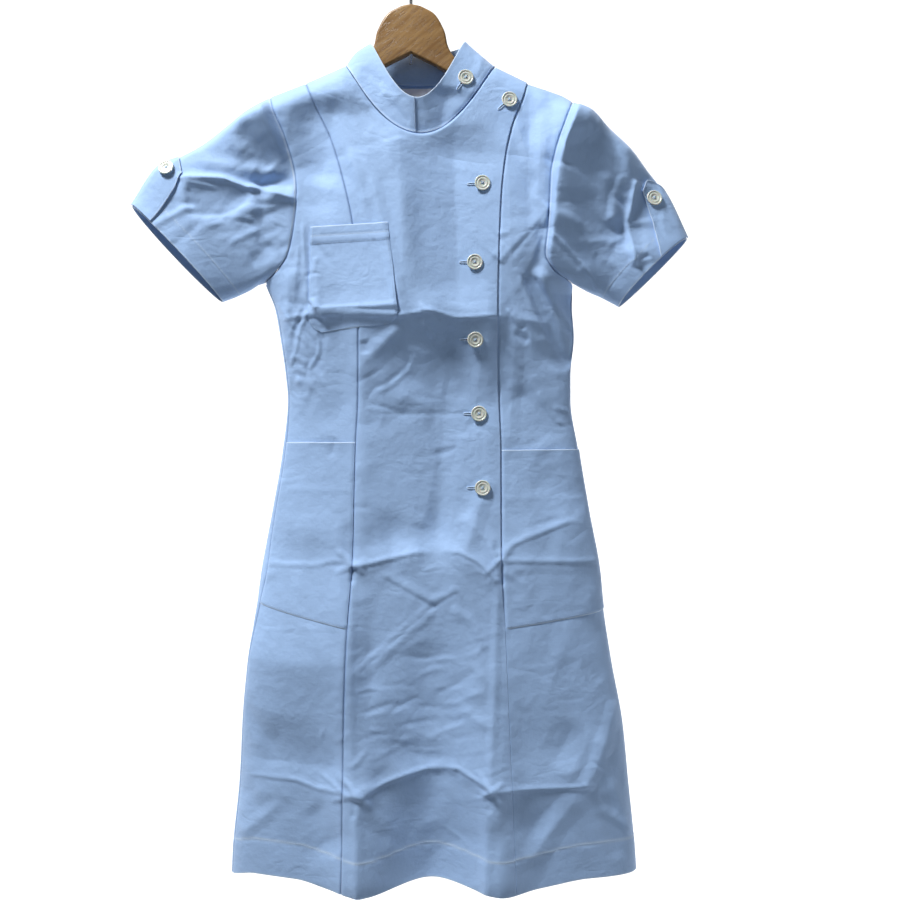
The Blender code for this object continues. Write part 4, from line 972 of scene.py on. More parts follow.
@dataclass(frozen=True)
class Workroom:
    """Makes objects, gives them their finish and sews them to the model.

    Args:
        finishes: Materials by the name of their finish.
    """

    finishes: dict[str, Material]

    def add(self, name: str, data: Mesh, finish: str, slot: str, nodes: Sequence[str] = ()
            ) -> bpy.types.Object:
        """Link a piece in place, riding on the dress.

        Args:
            name: Name of the piece.
            data: Its mesh.
            finish: Name of its finish.
            slot: Not used.
            nodes: Solids that it stands for.

        Returns:
            The piece.
        """
        piece = bpy.data.objects.new(name, data)
        data.materials.clear()
        data.materials.append(self.finishes[finish])
        link(piece)
        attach(piece, BODY)
        if nodes:
            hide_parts(*nodes)
        LOG.info("%s", name)
        return piece

    def sew(self, node: str, cloth: Cloth, closed: bool = False,
            finish: str = "cloth", thickness: float = CLOTH) -> bpy.types.Object:
        """Make one cut piece of cloth in the place of its solid.

        Args:
            node: Name of the solid.
            cloth: Outer face.
            closed: Whether it is a welded tube.
            finish: Name of its finish.
            thickness: Thickness of the cloth.

        Returns:
            The piece.
        """
        name = f"sewn_{node}"
        piece = self.add(name, cloth.mesh(name, closed), finish, finish, [node])
        wall = piece.modifiers.new("thickness", "SOLIDIFY")
        wall.thickness = thickness * MM
        wall.offset = -1.0
        return piece


class Thread:
    """Collects stitches, and makes them one piece."""

    def __init__(self, name: str, radius: float = 0.17) -> None:
        """Start an empty curve.

        Args:
            name: Name of the piece.
            radius: Radius of the thread.
        """
        self.name = name
        self.curve = bpy.data.curves.new(name, "CURVE")
        self.curve.dimensions = "3D"
        self.curve.bevel_depth = radius * MM
        self.curve.bevel_resolution = 1

    def strand(self, route: Array) -> None:
        """One strand along a route."""
        add_spline(self.curve, route)

    def run(self, line: Array, out: Array, pitch: float = 3.0, share: float = 0.72) -> None:
        """Running stitches along a line on the cloth.

        Args:
            line: Points on the cloth.
            out: Outward normals there.
            pitch: Distance from one stitch to the next.
            share: Share of the pitch that lies on top.
        """
        way = route_way(line)
        bends, lift = np.array([0.0, 0.15, 0.5, 0.85, 1.0]), np.array([-0.2, 0.08, 0.16, 0.08, -0.2])
        for start in np.arange(pitch / 2.0, way[-1] - pitch, pitch):
            places = start + bends * pitch * share
            spots = np.stack([np.interp(places, way, line[:, axis]) for axis in range(3)], axis=-1)
            normals = unit(np.stack([np.interp(places, way, out[:, axis]) for axis in range(3)], axis=-1))
            self.strand(spots + normals * lift[:, None])

    def finish(self, room: Workroom, finish: str = "thread") -> None:
        """Make the piece."""
        if self.curve.splines:
            room.add(self.name, curve_mesh(self.name, self.curve), finish, "cloth")


@dataclass(frozen=True)
class Panel:
    """Cut piece of the body between two edges, from its upper edge to the hem.

    Args:
        node: Name of its solid.
        left: Left edge, as an angle by height.
        right: Right edge.
        top: Upper edge, as a height by x.
        girth: Usual width, for the pitch of the grid.
        pitch: Distance between grid columns and rows.
        cut: Flat cut; not used.
        behind: Whether it is on the back.
    """

    node: str
    left: Edge
    right: Edge
    top: Edge
    girth: float
    pitch: float
    cut: Cut
    behind: bool = False

    def rows(self) -> tuple[Array, Array, Array]:
        """Share of the upper edge, level and share of the hem for every row."""
        turn_step = 6.5 if self.behind else 5.0
        arc = SHOULDER_ROUND * (1.0 - np.cos(np.radians(np.arange(0.0, 90.0, turn_step))))
        arc = np.union1d(arc, ROLL_STEPS)
        drop = np.arange(arc[-1] + self.pitch, SHOULDER_DROP, self.pitch)
        top = 1.0 - np.concatenate([arc, drop]) / SHOULDER_DROP
        levels = np.arange(CHEST_LEVEL, HEM_BLEND, -self.pitch)
        low = pitched(HEM_BLEND - HEM_LEVEL, self.pitch, (False, True))
        level = np.concatenate([np.full(len(top), CHEST_LEVEL), levels, np.full(len(low), HEM_BLEND)])
        top = np.concatenate([top, np.zeros(len(levels) + len(low))])
        return top, level, np.concatenate([np.zeros(len(top) - len(low)), low])

    def places(self) -> tuple[Array, Array]:
        """Angle and height of every grid point."""
        top, level, low = (values[:, None] for values in self.rows())
        share = pitched(self.girth, self.pitch)[None, :]
        z = level + 0.0 * share
        turn = z
        for _ in range(EDGE_ROUNDS):
            turn = girth_mix(self.left(z), self.right(z), share)
            x = FORM.across(turn, z)
            z = top * self.top(x) + (1.0 - top - low) * level + low * HEM(x)
        return turn, z

    def cloth(self) -> Cloth:
        """Outer face with its folds and creases."""
        turn, z = self.places()
        points = FORM.point(turn, z, creased=True)
        if self.node == "left_side_front":
            points = points - FORM.normal(turn, z) * sink_under_overlap(turn, z)[..., None]
        return Cloth(points, (0.0, 1.0 if self.behind else -1.0, 0.0))


@dataclass
class Body:
    """Centre front, side fronts and back, with their seams and hem.

    Seams are a depth, a width and an amount of painted shade. The panels' faces are kept by node once they
    are built.
    """

    panels: tuple[Panel, ...] = (
        Panel("front_overlap", lambda z: seam_turn(PRINCESS_SEAM, z, SEAM_GAP),
              lambda z: seam_turn(OVERLAP_EDGE, z, -SEAM_GAP), front_top, 200.0, 2.25,
              Cut(364.0, 973.0, 0.475)),
        Panel("right_side_front", right_front_outer, lambda z: seam_turn(PRINCESS_SEAM, z, -SEAM_GAP),
              front_top, 130.0, 2.2, Cut(150.0, 956.0, 0.66)),
        Panel("left_side_front", underlap_edge, left_front_outer, front_top, 170.0, 2.2,
              Cut(181.0, 982.0, 0.74)),
        Panel("back", back_left, back_right, back_top, 420.0, 4.2, Cut(538.0, 966.0, 0.74), behind=True),
    )
    hem_swell: float = 0.35
    # Neckline seam: depth, width and amount of painted shade
    neck_seam: Triple = (2.0, 1.8, 0.8)
    top_seam: Pair = (0.5, 1.2)
    cloths: dict[str, Cloth] = field(default_factory=dict)

    def build(self, room: Workroom) -> None:
        """Sew the panels and their stitches."""
        hem = Thread("hem_stitches")
        for panel in self.panels:
            cloth = panel.cloth()
            self.cloths[panel.node] = cloth
            self.edges(panel.node, cloth)
            room.sew(panel.node, cloth)
            hem.run(*cloth.trace(cloth.foot, HEM_DEPTH, across=True))
        hem.finish(room)

    def edges(self, node: str, cloth: Cloth) -> None:
        """Seams with painted shade in their grooves, folded edges with painted highlights, and the hem's
        layers.
        """
        cloth.band(cloth.foot, HEM_DEPTH, self.hem_swell)
        cloth.stitch_groove(cloth.foot, HEM_DEPTH - 2.0, 0.5)
        # Painted highlight along the hem's stitch line and the rolled hem edge
        cloth.mark(cloth.foot, HEM_DEPTH, 0.7, 1.3)
        cloth.roll(cloth.foot)
        if node == "front_overlap":
            cloth.seam(cloth.left)
            # Faint painted highlight along the overlap's folded edge
            cloth.roll(cloth.right, CLOTH * 0.8, 0.2)
            cloth.seam(cloth.top, *self.neck_seam)
            return
        if node != "left_side_front":
            cloth.seam(cloth.left)
        cloth.seam(cloth.right)
        cloth.seam(cloth.top, *self.top_seam)


@dataclass(frozen=True)
class SleeveCut:
    """Crown and underarm lines of a sleeve, its half depths and its hem's bow, by share of its length.

    The armhole follows two edges of the body's panels from the armpit up to a top point on the shoulder.
    """

    node: str
    shares: Row
    crown_x: Row
    crown_z: Row
    under_x: Row
    under_z: Row
    front: Row
    back: Row
    front_bow: Row
    back_bow: Row
    outward: float
    front_edge: Edge
    back_edge: Edge
    top_x: float
    top_z: float


SLEEVE_SHARES = (0.0, 0.18, 0.36, 0.54, 0.70, 0.84, 1.0)
RIGHT_SLEEVE = SleeveCut(
    node="right_sleeve", shares=SLEEVE_SHARES, crown_x=(-165, -190, -218, -246.5, -272, -297, -329),
    crown_z=(-197.4, -210.5, -232, -253.5, -267, -279, -325.5),
    under_x=(-171, -180, -189, -199, -208, -215, -222.5),
    under_z=(-416, -418.5, -424, -428.5, -432, -434.5, -437),
    front=(24, 24, 23, 23, 23, 23, 24), back=(20, 20, 20, 20, 20, 21, 22),
    front_bow=(0, 0, -1, -2, -3, -4, -5), back_bow=(0, 0, 1, 3, 4, 5, 6),
    outward=-1.0, front_edge=right_front_outer, back_edge=back_left, top_x=-165.0, top_z=-197.4)
LEFT_SLEEVE = SleeveCut(
    node="left_sleeve", shares=SLEEVE_SHARES, crown_x=(190, 211, 235, 261, 279, 301, 325.5),
    crown_z=(-203, -210.5, -234, -258.5, -283, -313, -364.5),
    under_x=(189.5, 199.5, 211, 223, 231, 238, 245.5),
    under_z=(-416, -422, -427.5, -432, -435.5, -439, -443),
    front=(24, 24, 23, 23, 23, 24, 25), back=(20, 20, 20, 20, 20, 21, 22),
    front_bow=(0, 0, -2, -4, -5, -6, -7), back_bow=(0, 0, 0, 1, 1, 2, 3),
    outward=1.0, front_edge=left_front_outer, back_edge=back_right, top_x=190.0, top_z=-203.0)


@dataclass(frozen=True)
class TabCut:
    """Strap on a sleeve and its button's place, as shares along the sleeve and turns round it.

    Its inner edge runs from hem_inner to tip_inner, with a bow, and its tip from inner_share over a peak to
    outer_share.
    """

    node: str
    button: str
    hem_inner: float
    tip_inner: float
    bow: float
    inner_share: float
    peak_across: float
    peak_share: float
    outer_share: float
    button_share: float
    button_turn: float
    hem_share: float = 0.995
    outer: float = 0.497


RIGHT_TAB = TabCut("right_sleeve_tab", "button_right_tab", 0.345, 0.38, 0.02, 0.725, 0.6, 0.70, 0.85,
                   0.805, 0.418)
LEFT_TAB = TabCut("left_sleeve_tab", "button_left_tab", 0.29, 0.364, 0.0, 0.715, 0.34, 0.715, 0.83,
                  0.80, 0.384)


@dataclass
class Sleeve:
    """Short set-in sleeve with a hem and a buttoned tab.

    The sleeve takes on the armhole's shape over a share of its length, blend. Its tab's face stands over it
    by tab_lift, with stitches at tab_stitch from its edges.
    """

    sizes: SleeveCut
    tab: TabCut
    cut: Cut = Cut(495.0, 215.0, 0.56)
    tab_cut: Cut = Cut(57.0, 81.0, 0.72)
    hem_depth: float = 22.0
    length: float = 190.0
    blend: float = 0.75
    tab_size: Pair = (46.0, 62.0)
    tab_lift: float = 1.9
    tab_stitch: float = 4.0
    armhole: Array = field(init=False)
    turns: Array = field(init=False)

    def __post_init__(self) -> None:
        """Lay the armhole out from the edges of the body's panels."""
        sizes = self.sizes
        rounding = 1.0 - np.sin(np.radians(np.arange(0, 90, 8)))
        heights = np.concatenate([np.arange(ARMPIT, sizes.top_z - SHOULDER_ROUND, 4.0),
                                  sizes.top_z - SHOULDER_ROUND * rounding])
        front = FORM.point(sizes.front_edge(heights), heights, creased=True)
        back = FORM.point(sizes.back_edge(heights), heights, creased=True)[::-1]
        crown = np.array([[sizes.top_x, 0.0, sizes.top_z]])
        self.armhole = np.concatenate([front, crown, back])
        half = len(front)
        way = route_way(self.armhole)
        first, last = way[half], way[-1] - way[half]
        self.turns = np.concatenate([way[:half + 1] / first / 2.0,
                                     0.5 + (way[half + 1:] - first) / last / 2.0])

    def read(self, name: str, share: Array) -> Array:
        """One column of the sleeve's sizes."""
        return Line(self.sizes.shares, getattr(self.sizes, name))(share)

    def plain(self, share: Array, turn: Array) -> Array:
        """Flattened tube between the crown line and the underarm line."""
        share, turn = together(share, turn)
        crown = np.stack([self.read("crown_x", share), self.read("crown_z", share)], axis=-1)
        under = np.stack([self.read("under_x", share), self.read("under_z", share)], axis=-1)
        behind = turn > 0.5
        half_turn = np.where(behind, 2.0 - 2.0 * turn, 2.0 * turn)
        flat = mix(under, crown, ((1.0 - np.cos(pi * half_turn)) / 2.0)[..., None])
        chord = unit(crown - under)
        out = np.stack([chord[..., 1], -chord[..., 0]], axis=-1) * self.sizes.outward
        round_out = np.clip(np.sin(pi * half_turn), 0.0, None)
        bow = np.where(behind, self.read("back_bow", share), self.read("front_bow", share))
        flat = flat + out * (bow * round_out)[..., None]
        x, z = flat[..., 0], flat[..., 1]
        depth = np.where(behind, self.read("back", share), self.read("front", share)) * round_out ** 0.8
        depth = depth + sided(behind, BACK_FOLDS, FRONT_FOLDS, x, z) * ease(round_out, 0.0, 0.7)
        return np.stack([x, np.where(behind, depth, -depth), z], axis=-1)

    def point(self, share: Array, turn: Array) -> Array:
        """Outer face, drawn onto the armhole at its start."""
        share, turn = together(share, turn)
        start = np.stack([np.interp(turn, self.turns, self.armhole[:, axis]) for axis in range(3)], axis=-1)
        pull = start - self.plain(0.0 * share, turn)
        points = self.plain(share, turn) + pull * (1.0 - ease(share, 0.0, self.blend))[..., None]
        round_out = np.clip(np.sin(2.0 * pi * turn) ** 2, 0.0, 1.0)
        x, z = points[..., 0], points[..., 2]
        fine = np.where(turn > 0.5, relief(BACK_CREASES, x, z), -relief(FRONT_CREASES, x, z))
        points[..., 1] += fine * ease(round_out, 0.0, 0.15) * ease(share, 0.0, 0.08)
        return points

    def shares_round(self, pitch: float) -> Array:
        """Turns at a steady pitch round the sleeve."""
        turns = np.linspace(0.0, 1.0, 1601)
        ring = self.plain(0.6, turns)
        way = route_way(ring)
        count = round(way[-1] / pitch / 2.0) * 2
        return np.interp(np.linspace(0.0, way[-1], count + 1), way, turns)

    def build(self, room: Workroom) -> None:
        """Sew the sleeve, its tab and their stitches."""
        turns = self.shares_round(2.4)
        shares = pitched(self.length, 2.3)
        cloth = Cloth(self.point(shares[:, None], turns[None, :]), (0.0, 0.0, 1.0))
        # Painted shade in the armhole seam's groove, painted highlights beside it, along the hem's stitch
        # line and along the rolled hem
        cloth.seam(cloth.top, 0.7, 1.4, 0.5)
        cloth.mark(cloth.top, 1.7, 0.9, 0.8)
        cloth.band(cloth.foot, self.hem_depth, 0.3)
        cloth.mark(cloth.foot, self.hem_depth, 0.3)
        cloth.stitch_groove(cloth.foot, self.hem_depth - 2.0)
        cloth.roll(cloth.foot)
        cloth.points[:, -1] = cloth.points[:, 0]
        room.sew(self.sizes.node, cloth, closed=True)
        thread = Thread(f"{self.sizes.node}_stitches")
        thread.run(*cloth.trace(cloth.foot, self.hem_depth, across=True))
        thread.run(*cloth.trace(cloth.top, 2.6, across=True))
        self.build_tab(room, thread)
        thread.finish(room)

    def tab_point(self, across: Array, along: Array) -> Array:
        """Point of the tab, across from its inner to its outer edge and along from hem to tip."""
        tab = self.tab
        rise = mix(tab.inner_share, tab.peak_share, across / tab.peak_across)
        fall = mix(tab.peak_share, tab.outer_share, (across - tab.peak_across) / (1.0 - tab.peak_across))
        tip = np.where(across < tab.peak_across, rise, fall)
        inner = mix(tab.hem_inner, tab.tip_inner, along) - tab.bow * np.sin(pi * along)
        return self.point(mix(tab.hem_share, tip, along), mix(inner, tab.outer, across))

    def build_tab(self, room: Workroom, thread: Thread) -> None:
        """Strap that is sewn in at the hem and lies on the sleeve."""
        width, length = self.tab_size
        across = np.union1d(pitched(width, 1.7), [self.tab.peak_across])[None, :]
        along = 1.0 - pitched(length, 1.7)[:, None]
        cloth = Cloth(self.tab_point(across, along))
        near = np.minimum(np.minimum(cloth.left, cloth.right), cloth.top)
        cloth.raise_by(np.full(near.shape, self.tab_lift))
        cloth.raise_by(0.7 * bell(near, 9.0) - 0.35 * bell(near - self.tab_stitch, 1.2))
        # Painted highlight along the tab's rolled edges
        cloth.roll(near)
        room.sew(self.tab.node, cloth, thickness=CLOTH * 1.4)
        for distance, is_row in ((cloth.left, False), (cloth.right, False), (cloth.top, True)):
            line, out = cloth.trace(distance, self.tab_stitch, across=is_row)
            thread.run(line[3:-3], out[3:-3])

    def seat(self) -> tuple[Array, Array]:
        """Place and outward direction of the tab's button."""
        share, turn = self.tab.button_share, self.tab.button_turn
        along = self.point(share + 0.01, turn) - self.point(share - 0.01, turn)
        around = self.point(share, turn + 0.004) - self.point(share, turn - 0.004)
        out = unit(np.cross(along, around)) * self.sizes.outward
        return self.point(share, turn) + out * self.tab_lift, out


@dataclass
class Collar:
    """Stand collar: the part round the back, and the front part that buttons over it.

    Turns are degrees round the neck: 0 is the left neck point, 90 the front, 180 the right, -90 the back. The
    lower part runs from end to split and a tuck further under the upper one, a layer deeper. The head is the
    upper edge. It dips at the front, by a depth and a squareness, and at the back. The button sits at a turn
    and a share of the height.
    """

    split: float = 87.0
    tuck: float = 12.0
    end: float = -210.0
    layer: float = 1.7
    height: float = 46.0
    head_x: Pair = (-47.5, 64.0)
    head_z: Pair = (-133.5, -131.0)
    front_dip: Pair = (72.0, 2.4)
    back_dip: float = 7.0
    head_depth: Pair = (33.0, 24.0)
    bulge: float = 4.0
    button: Pair = (138.0, 0.46)
    cuts: tuple[Cut, Cut] = (Cut(363.0, 47.0, 0.73), Cut(161.0, 47.0, 0.8))
    buckles: tuple[Crease, ...] = (
        Crease(-58, -170, -34, -186, 7, -1.0, shape=Shape.FACET, bow=-3),
        Crease(44, -194, 33, -262, 34, -4.6, -8.0, shape=Shape.FACET, tip=0.7),
        *creases(Shape.FACET,
            (-34, -196, -14, -206, 8, 1.3), (-22, -212, -2, -232, 6, -0.9), (58, -178, 74, -200, 9, 1.3),
            (84, -150, 78, -176, 8, 1.2)),
    )
    upper: Cloth = field(init=False)

    def neckline(self, turn: Array) -> Array:
        """Point of the neckline."""
        x = mix(NECK_LEFT, NECK_RIGHT, half_wave(turn))
        behind = np.sin(np.radians(turn)) < 0.0
        z = np.where(behind, back_top(x), front_top(x))
        angle = np.where(behind, -1.0, 1.0) * FORM.turn(x, z)
        return FORM.point(angle, z)

    def point(self, turn: Array, rise: Array) -> Array:
        """Outer face, from the neckline (0) to the upper edge (1)."""
        turn, rise = together(turn, rise)
        foot = self.neckline(turn)
        out = np.sin(np.radians(turn))
        share = half_wave(turn)
        dip, squareness = self.front_dip
        drop = np.where(out >= 0.0, dip * np.abs(out) ** squareness, self.back_dip * np.abs(out))
        depth = -out * np.where(out >= 0.0, *self.head_depth)
        head = np.stack([mix(*self.head_x, share), depth, mix(*self.head_z, share) - drop], axis=-1)
        side = np.clip(np.cos(np.radians(turn)), 0.0, None)
        bulge = self.bulge * np.sin(pi * rise) * side ** 2 * 0.7071
        return mix(foot, head, rise[..., None]) + np.stack([-bulge, 0.0 * bulge, bulge], axis=-1)

    def band(self, start: float, end: float) -> tuple[Cloth, Array]:
        """Outer face of one part, and the turn at every point."""
        turns = start + (end - start) * pitched(abs(end - start) * 1.25, 2.1)
        rises = 1.0 - pitched(self.height, 1.9)
        turn = np.broadcast_to(turns[None, :], (len(rises), len(turns)))
        middle = radians((start + end) / 2.0)
        return Cloth(self.point(turn, rises[:, None]), (-cos(middle), -sin(middle), 0.0)), turn

    def dress(self, cloth: Cloth, free: Array) -> None:
        """Stitched and pressed edges with painted highlights along them and painted shade along the foot, and
        the stiff collar's shallow buckles.
        """
        x, z = cloth.points[..., 0], cloth.points[..., 2]
        cloth.raise_by(relief(self.buckles, x, z) * np.clip(-cloth.normals[..., 1], 0.0, 1.0))
        # Painted highlights along the upper edge and the free end, painted shade along the foot and a painted
        # highlight line just above it
        cloth.roll(cloth.top, CLOTH * 0.7)
        cloth.roll(free, CLOTH * 0.7, 0.5)
        cloth.raise_by(0.5 * bell(cloth.top, 5.0) + 0.8 * bell(cloth.foot, 4.0))
        cloth.roll(cloth.foot, CLOTH * 0.7, -0.5)
        cloth.mark(cloth.foot, 1.6, 0.7, 0.7)
        cloth.stitch_groove(cloth.foot, 3.4, 0.4)

    def build(self, room: Workroom) -> None:
        """Sew both parts and their stitches."""
        thread = Thread("collar_stitches")
        stitch = 2.2
        cloth, turn = self.band(self.end, self.split)
        cloth.raise_by(-self.layer * (1.0 - ease(turn, -180.0, -150.0)))
        self.dress(cloth, cloth.right)
        room.sew("collar", cloth)
        thread.run(*cloth.trace(cloth.foot, stitch, across=True))
        cloth, turn = self.band(self.split - self.tuck, 180.0)
        cloth.raise_by(-self.layer * (1.0 - ease(turn, self.split + 1.0, self.split + 14.0)))
        self.dress(cloth, cloth.right)
        open_foot = ease(turn, 104.0, 126.0) * (1.0 - ease(turn, 166.0, 178.0))
        cloth.raise_by(-1.6 * open_foot * bell(cloth.foot, 3.0))
        # Painted shadow in the open gap under the upper part's foot
        cloth.mark(cloth.foot, 0.0, -1.4 * open_foot, 3.0)
        room.sew("collar_overlap", cloth)
        self.upper = cloth
        thread.run(*cloth.trace(cloth.foot, stitch, across=True))
        thread.finish(room)

    def seat(self) -> tuple[Array, Array]:
        """Place and outward direction of the collar's button."""
        turn, rise = self.button
        around = self.point(turn + 1.0, rise) - self.point(turn - 1.0, rise)
        up = self.point(turn, 1.0) - self.point(turn, 0.0)
        return self.point(turn, rise), unit(np.cross(around, up))


@dataclass(frozen=True)
class PocketCut:
    """Patch pocket between two edges: height of its mouth and of its foot at its left and right end."""

    node: str
    left: Edge
    right: Edge
    mouth: Pair
    foot: Pair
    cut: Cut
    sunk: bool = False


@dataclass
class Pockets:
    """Chest pocket and both hip pockets.

    A pocket's face stands over the cloth by lift, and a hip pocket's mouth open by gape. The chest pocket's
    pairs are its stitched bands from the mouth down, its mouth and foot from left to right, and its sides
    from the mouth to the foot.
    """

    lift: float = 1.2
    gape: float = 1.0
    stitch: float = 2.6
    bands: Pair = (11.0, 20.0)
    corner: float = 22.0
    mouth: Pair = (-354.5, -351.0)
    foot: Pair = (-476.0, -468.0)
    left: Pair = (-114.5, -119.0)
    right: Pair = (-25.5, -10.5)
    cut: Cut = Cut(107.0, 133.0, 0.86)
    hips: tuple[PocketCut, ...] = (
        PocketCut("right_hip_pocket", right_front_outer, lambda z: seam_turn(PRINCESS_SEAM, z, -0.4),
                  (-603, -603), (-790, -816), Cut(113.0, 214.0, 0.84)),
        PocketCut("left_hip_pocket", lambda z: seam_turn(OVERLAP_EDGE, z, 0.6), left_front_outer,
                  (-612, -611), (-817, -797), Cut(141.0, 206.0, 0.87), sunk=True),
    )
    chest_creases: tuple[Crease | Fold, ...] = (
        Fold(((-112, -450), (-60, -449), (-14, -446)), 26, 10, 5.0, 0.2, 8),
        *creases(Shape.SOFT,
            (-112, -470, -20, -464, 7, -1.6, -1.2), (-112, -372, -86, -404, 4, -1.2, -0.6),
            (-108, -400, -104, -446, 5, 1.2, 1.6)),
        *creases(Shape.STEP, (-116, -440, -100, -462, 4, 1.8)),
    )
    hip_creases: tuple[Crease, ...] = (
        *creases(Shape.PRESSED,
            (-148, -657, -68, -660, 5, 0.5), (106, -668, 202, -668, 5, 0.5)),
        *creases(Shape.SOFT,
            (-80, -700, -78, -790, 7, 0.8), (-120, -690, -126, -780, 8, 0.7),
            (140, -690, 132, -790, 9, 0.8)),
    )

    def build(self, room: Workroom) -> None:
        """Sew the pockets and their stitches."""
        thread = Thread("pocket_stitches")
        self.build_chest(room, thread)
        for pocket in self.hips:
            self.build_hip(room, thread, pocket)
        thread.finish(room)

    def build_chest(self, room: Workroom, thread: Thread) -> None:
        """Chest pocket with a stitched top band and rounded lower corners."""
        across = pitched(98.0, 1.9)[None, :]
        down = pitched(120.0, 1.9)[:, None]
        foot = mix(*self.foot, across)
        z = mix(mix(*self.mouth, across), foot, down)
        into = np.clip(self.corner - (z - foot), 0.0, self.corner)
        inset = (self.corner - np.sqrt(self.corner ** 2 - into ** 2)) * 0.8
        x = mix(mix(*self.left, down) + inset, mix(*self.right, down) - inset, across)
        turn = FORM.turn(x, z)
        cloth = Cloth(FORM.point(turn, z, creased=True))
        cloth.raise_by(self.lift + relief(self.chest_creases, x, z))
        side = np.minimum(np.minimum(cloth.left, cloth.right), cloth.foot)
        cloth.raise_by(-0.5 * bell(side, 1.8) - 0.6 * bell(cloth.right, 9.0))
        upper, lower = self.bands
        cloth.band(cloth.top, lower + 1.0, 0.7)
        # Painted shade along the lower band's stitch line and a painted highlight along the upper one
        cloth.mark(cloth.top, lower, -0.35, 1.0)
        cloth.mark(cloth.top, upper, 0.3, 1.0)
        cloth.stitch_groove(cloth.top, upper, 0.5)
        cloth.stitch_groove(cloth.top, lower, 0.7)
        # Painted highlights along the rolled mouth and foot
        cloth.roll(cloth.top)
        cloth.roll(cloth.foot)
        room.sew("chest_pocket", cloth)
        for at in self.bands:
            thread.run(*cloth.trace(cloth.top, at, across=True))
        for distance, is_row in ((cloth.foot, True), (cloth.left, False), (cloth.right, False)):
            thread.run(*cloth.trace(distance, self.stitch, across=is_row))

    def build_hip(self, room: Workroom, thread: Thread, pocket: PocketCut) -> None:
        """Hip pocket sewn into the seams at both sides, with a slightly open mouth."""
        across = pitched(110.0, 2.3)[None, :]
        down = pitched(200.0, 2.3)[:, None]
        z = mix(mix(*pocket.mouth, across), mix(*pocket.foot, across), down)
        turn = girth_mix(pocket.left(z), pocket.right(z), across)
        cloth = Cloth(FORM.point(turn, z, creased=True))
        x = cloth.points[..., 0]
        sink = sink_under_overlap(turn, z) if pocket.sunk else 0.0
        open_mouth = self.gape * np.exp(-cloth.top / 14.0) * np.sin(pi * across) ** 0.6
        cloth.raise_by(self.lift - sink + open_mouth + relief(self.hip_creases, x, z))
        side = np.minimum(cloth.left, cloth.right)
        cloth.raise_by(-1.2 * bell(side, 1.8) - 0.6 * bell(cloth.foot, 1.8))
        # Painted highlights along the rolled mouth and foot
        cloth.roll(cloth.top)
        cloth.roll(cloth.foot)
        room.sew(pocket.node, cloth)
        thread.run(*cloth.trace(cloth.foot, self.stitch, across=True))


@dataclass
class NeckLabel:
    """Bare white woven label on the inside of the back.

    Depth is how far its face lies inside the back's outer face.
    """

    span: Pair = (-20.0, 34.0)
    top: float = -180.5
    height: float = 20.0
    depth: float = 2.0
    stitch: float = 2.5
    cut: Cut = Cut(56.0, 21.0)

    def build(self, room: Workroom) -> None:
        """Sew the label and its two end seams."""
        x = mix(*self.span, pitched(self.span[1] - self.span[0], 1.8)[None, :])
        z = self.top - self.height * pitched(self.height, 1.8)[:, None] + 0.0 * x
        turn = FORM.turn(x + 0.0 * z, z, behind=True)
        cloth = Cloth(FORM.point(turn, z) - FORM.normal(turn, z) * self.depth)
        ends = np.minimum(cloth.left, cloth.right)
        cloth.raise_by(0.25 - 0.35 * bell(ends - self.stitch))
        room.sew("neck_label", cloth, finish="label", thickness=0.5)
        thread = Thread("label_stitches", 0.14)
        for distance in (cloth.left, cloth.right):
            thread.run(*cloth.trace(distance, self.stitch, across=False), pitch=2.2)
        thread.finish(room, "label")


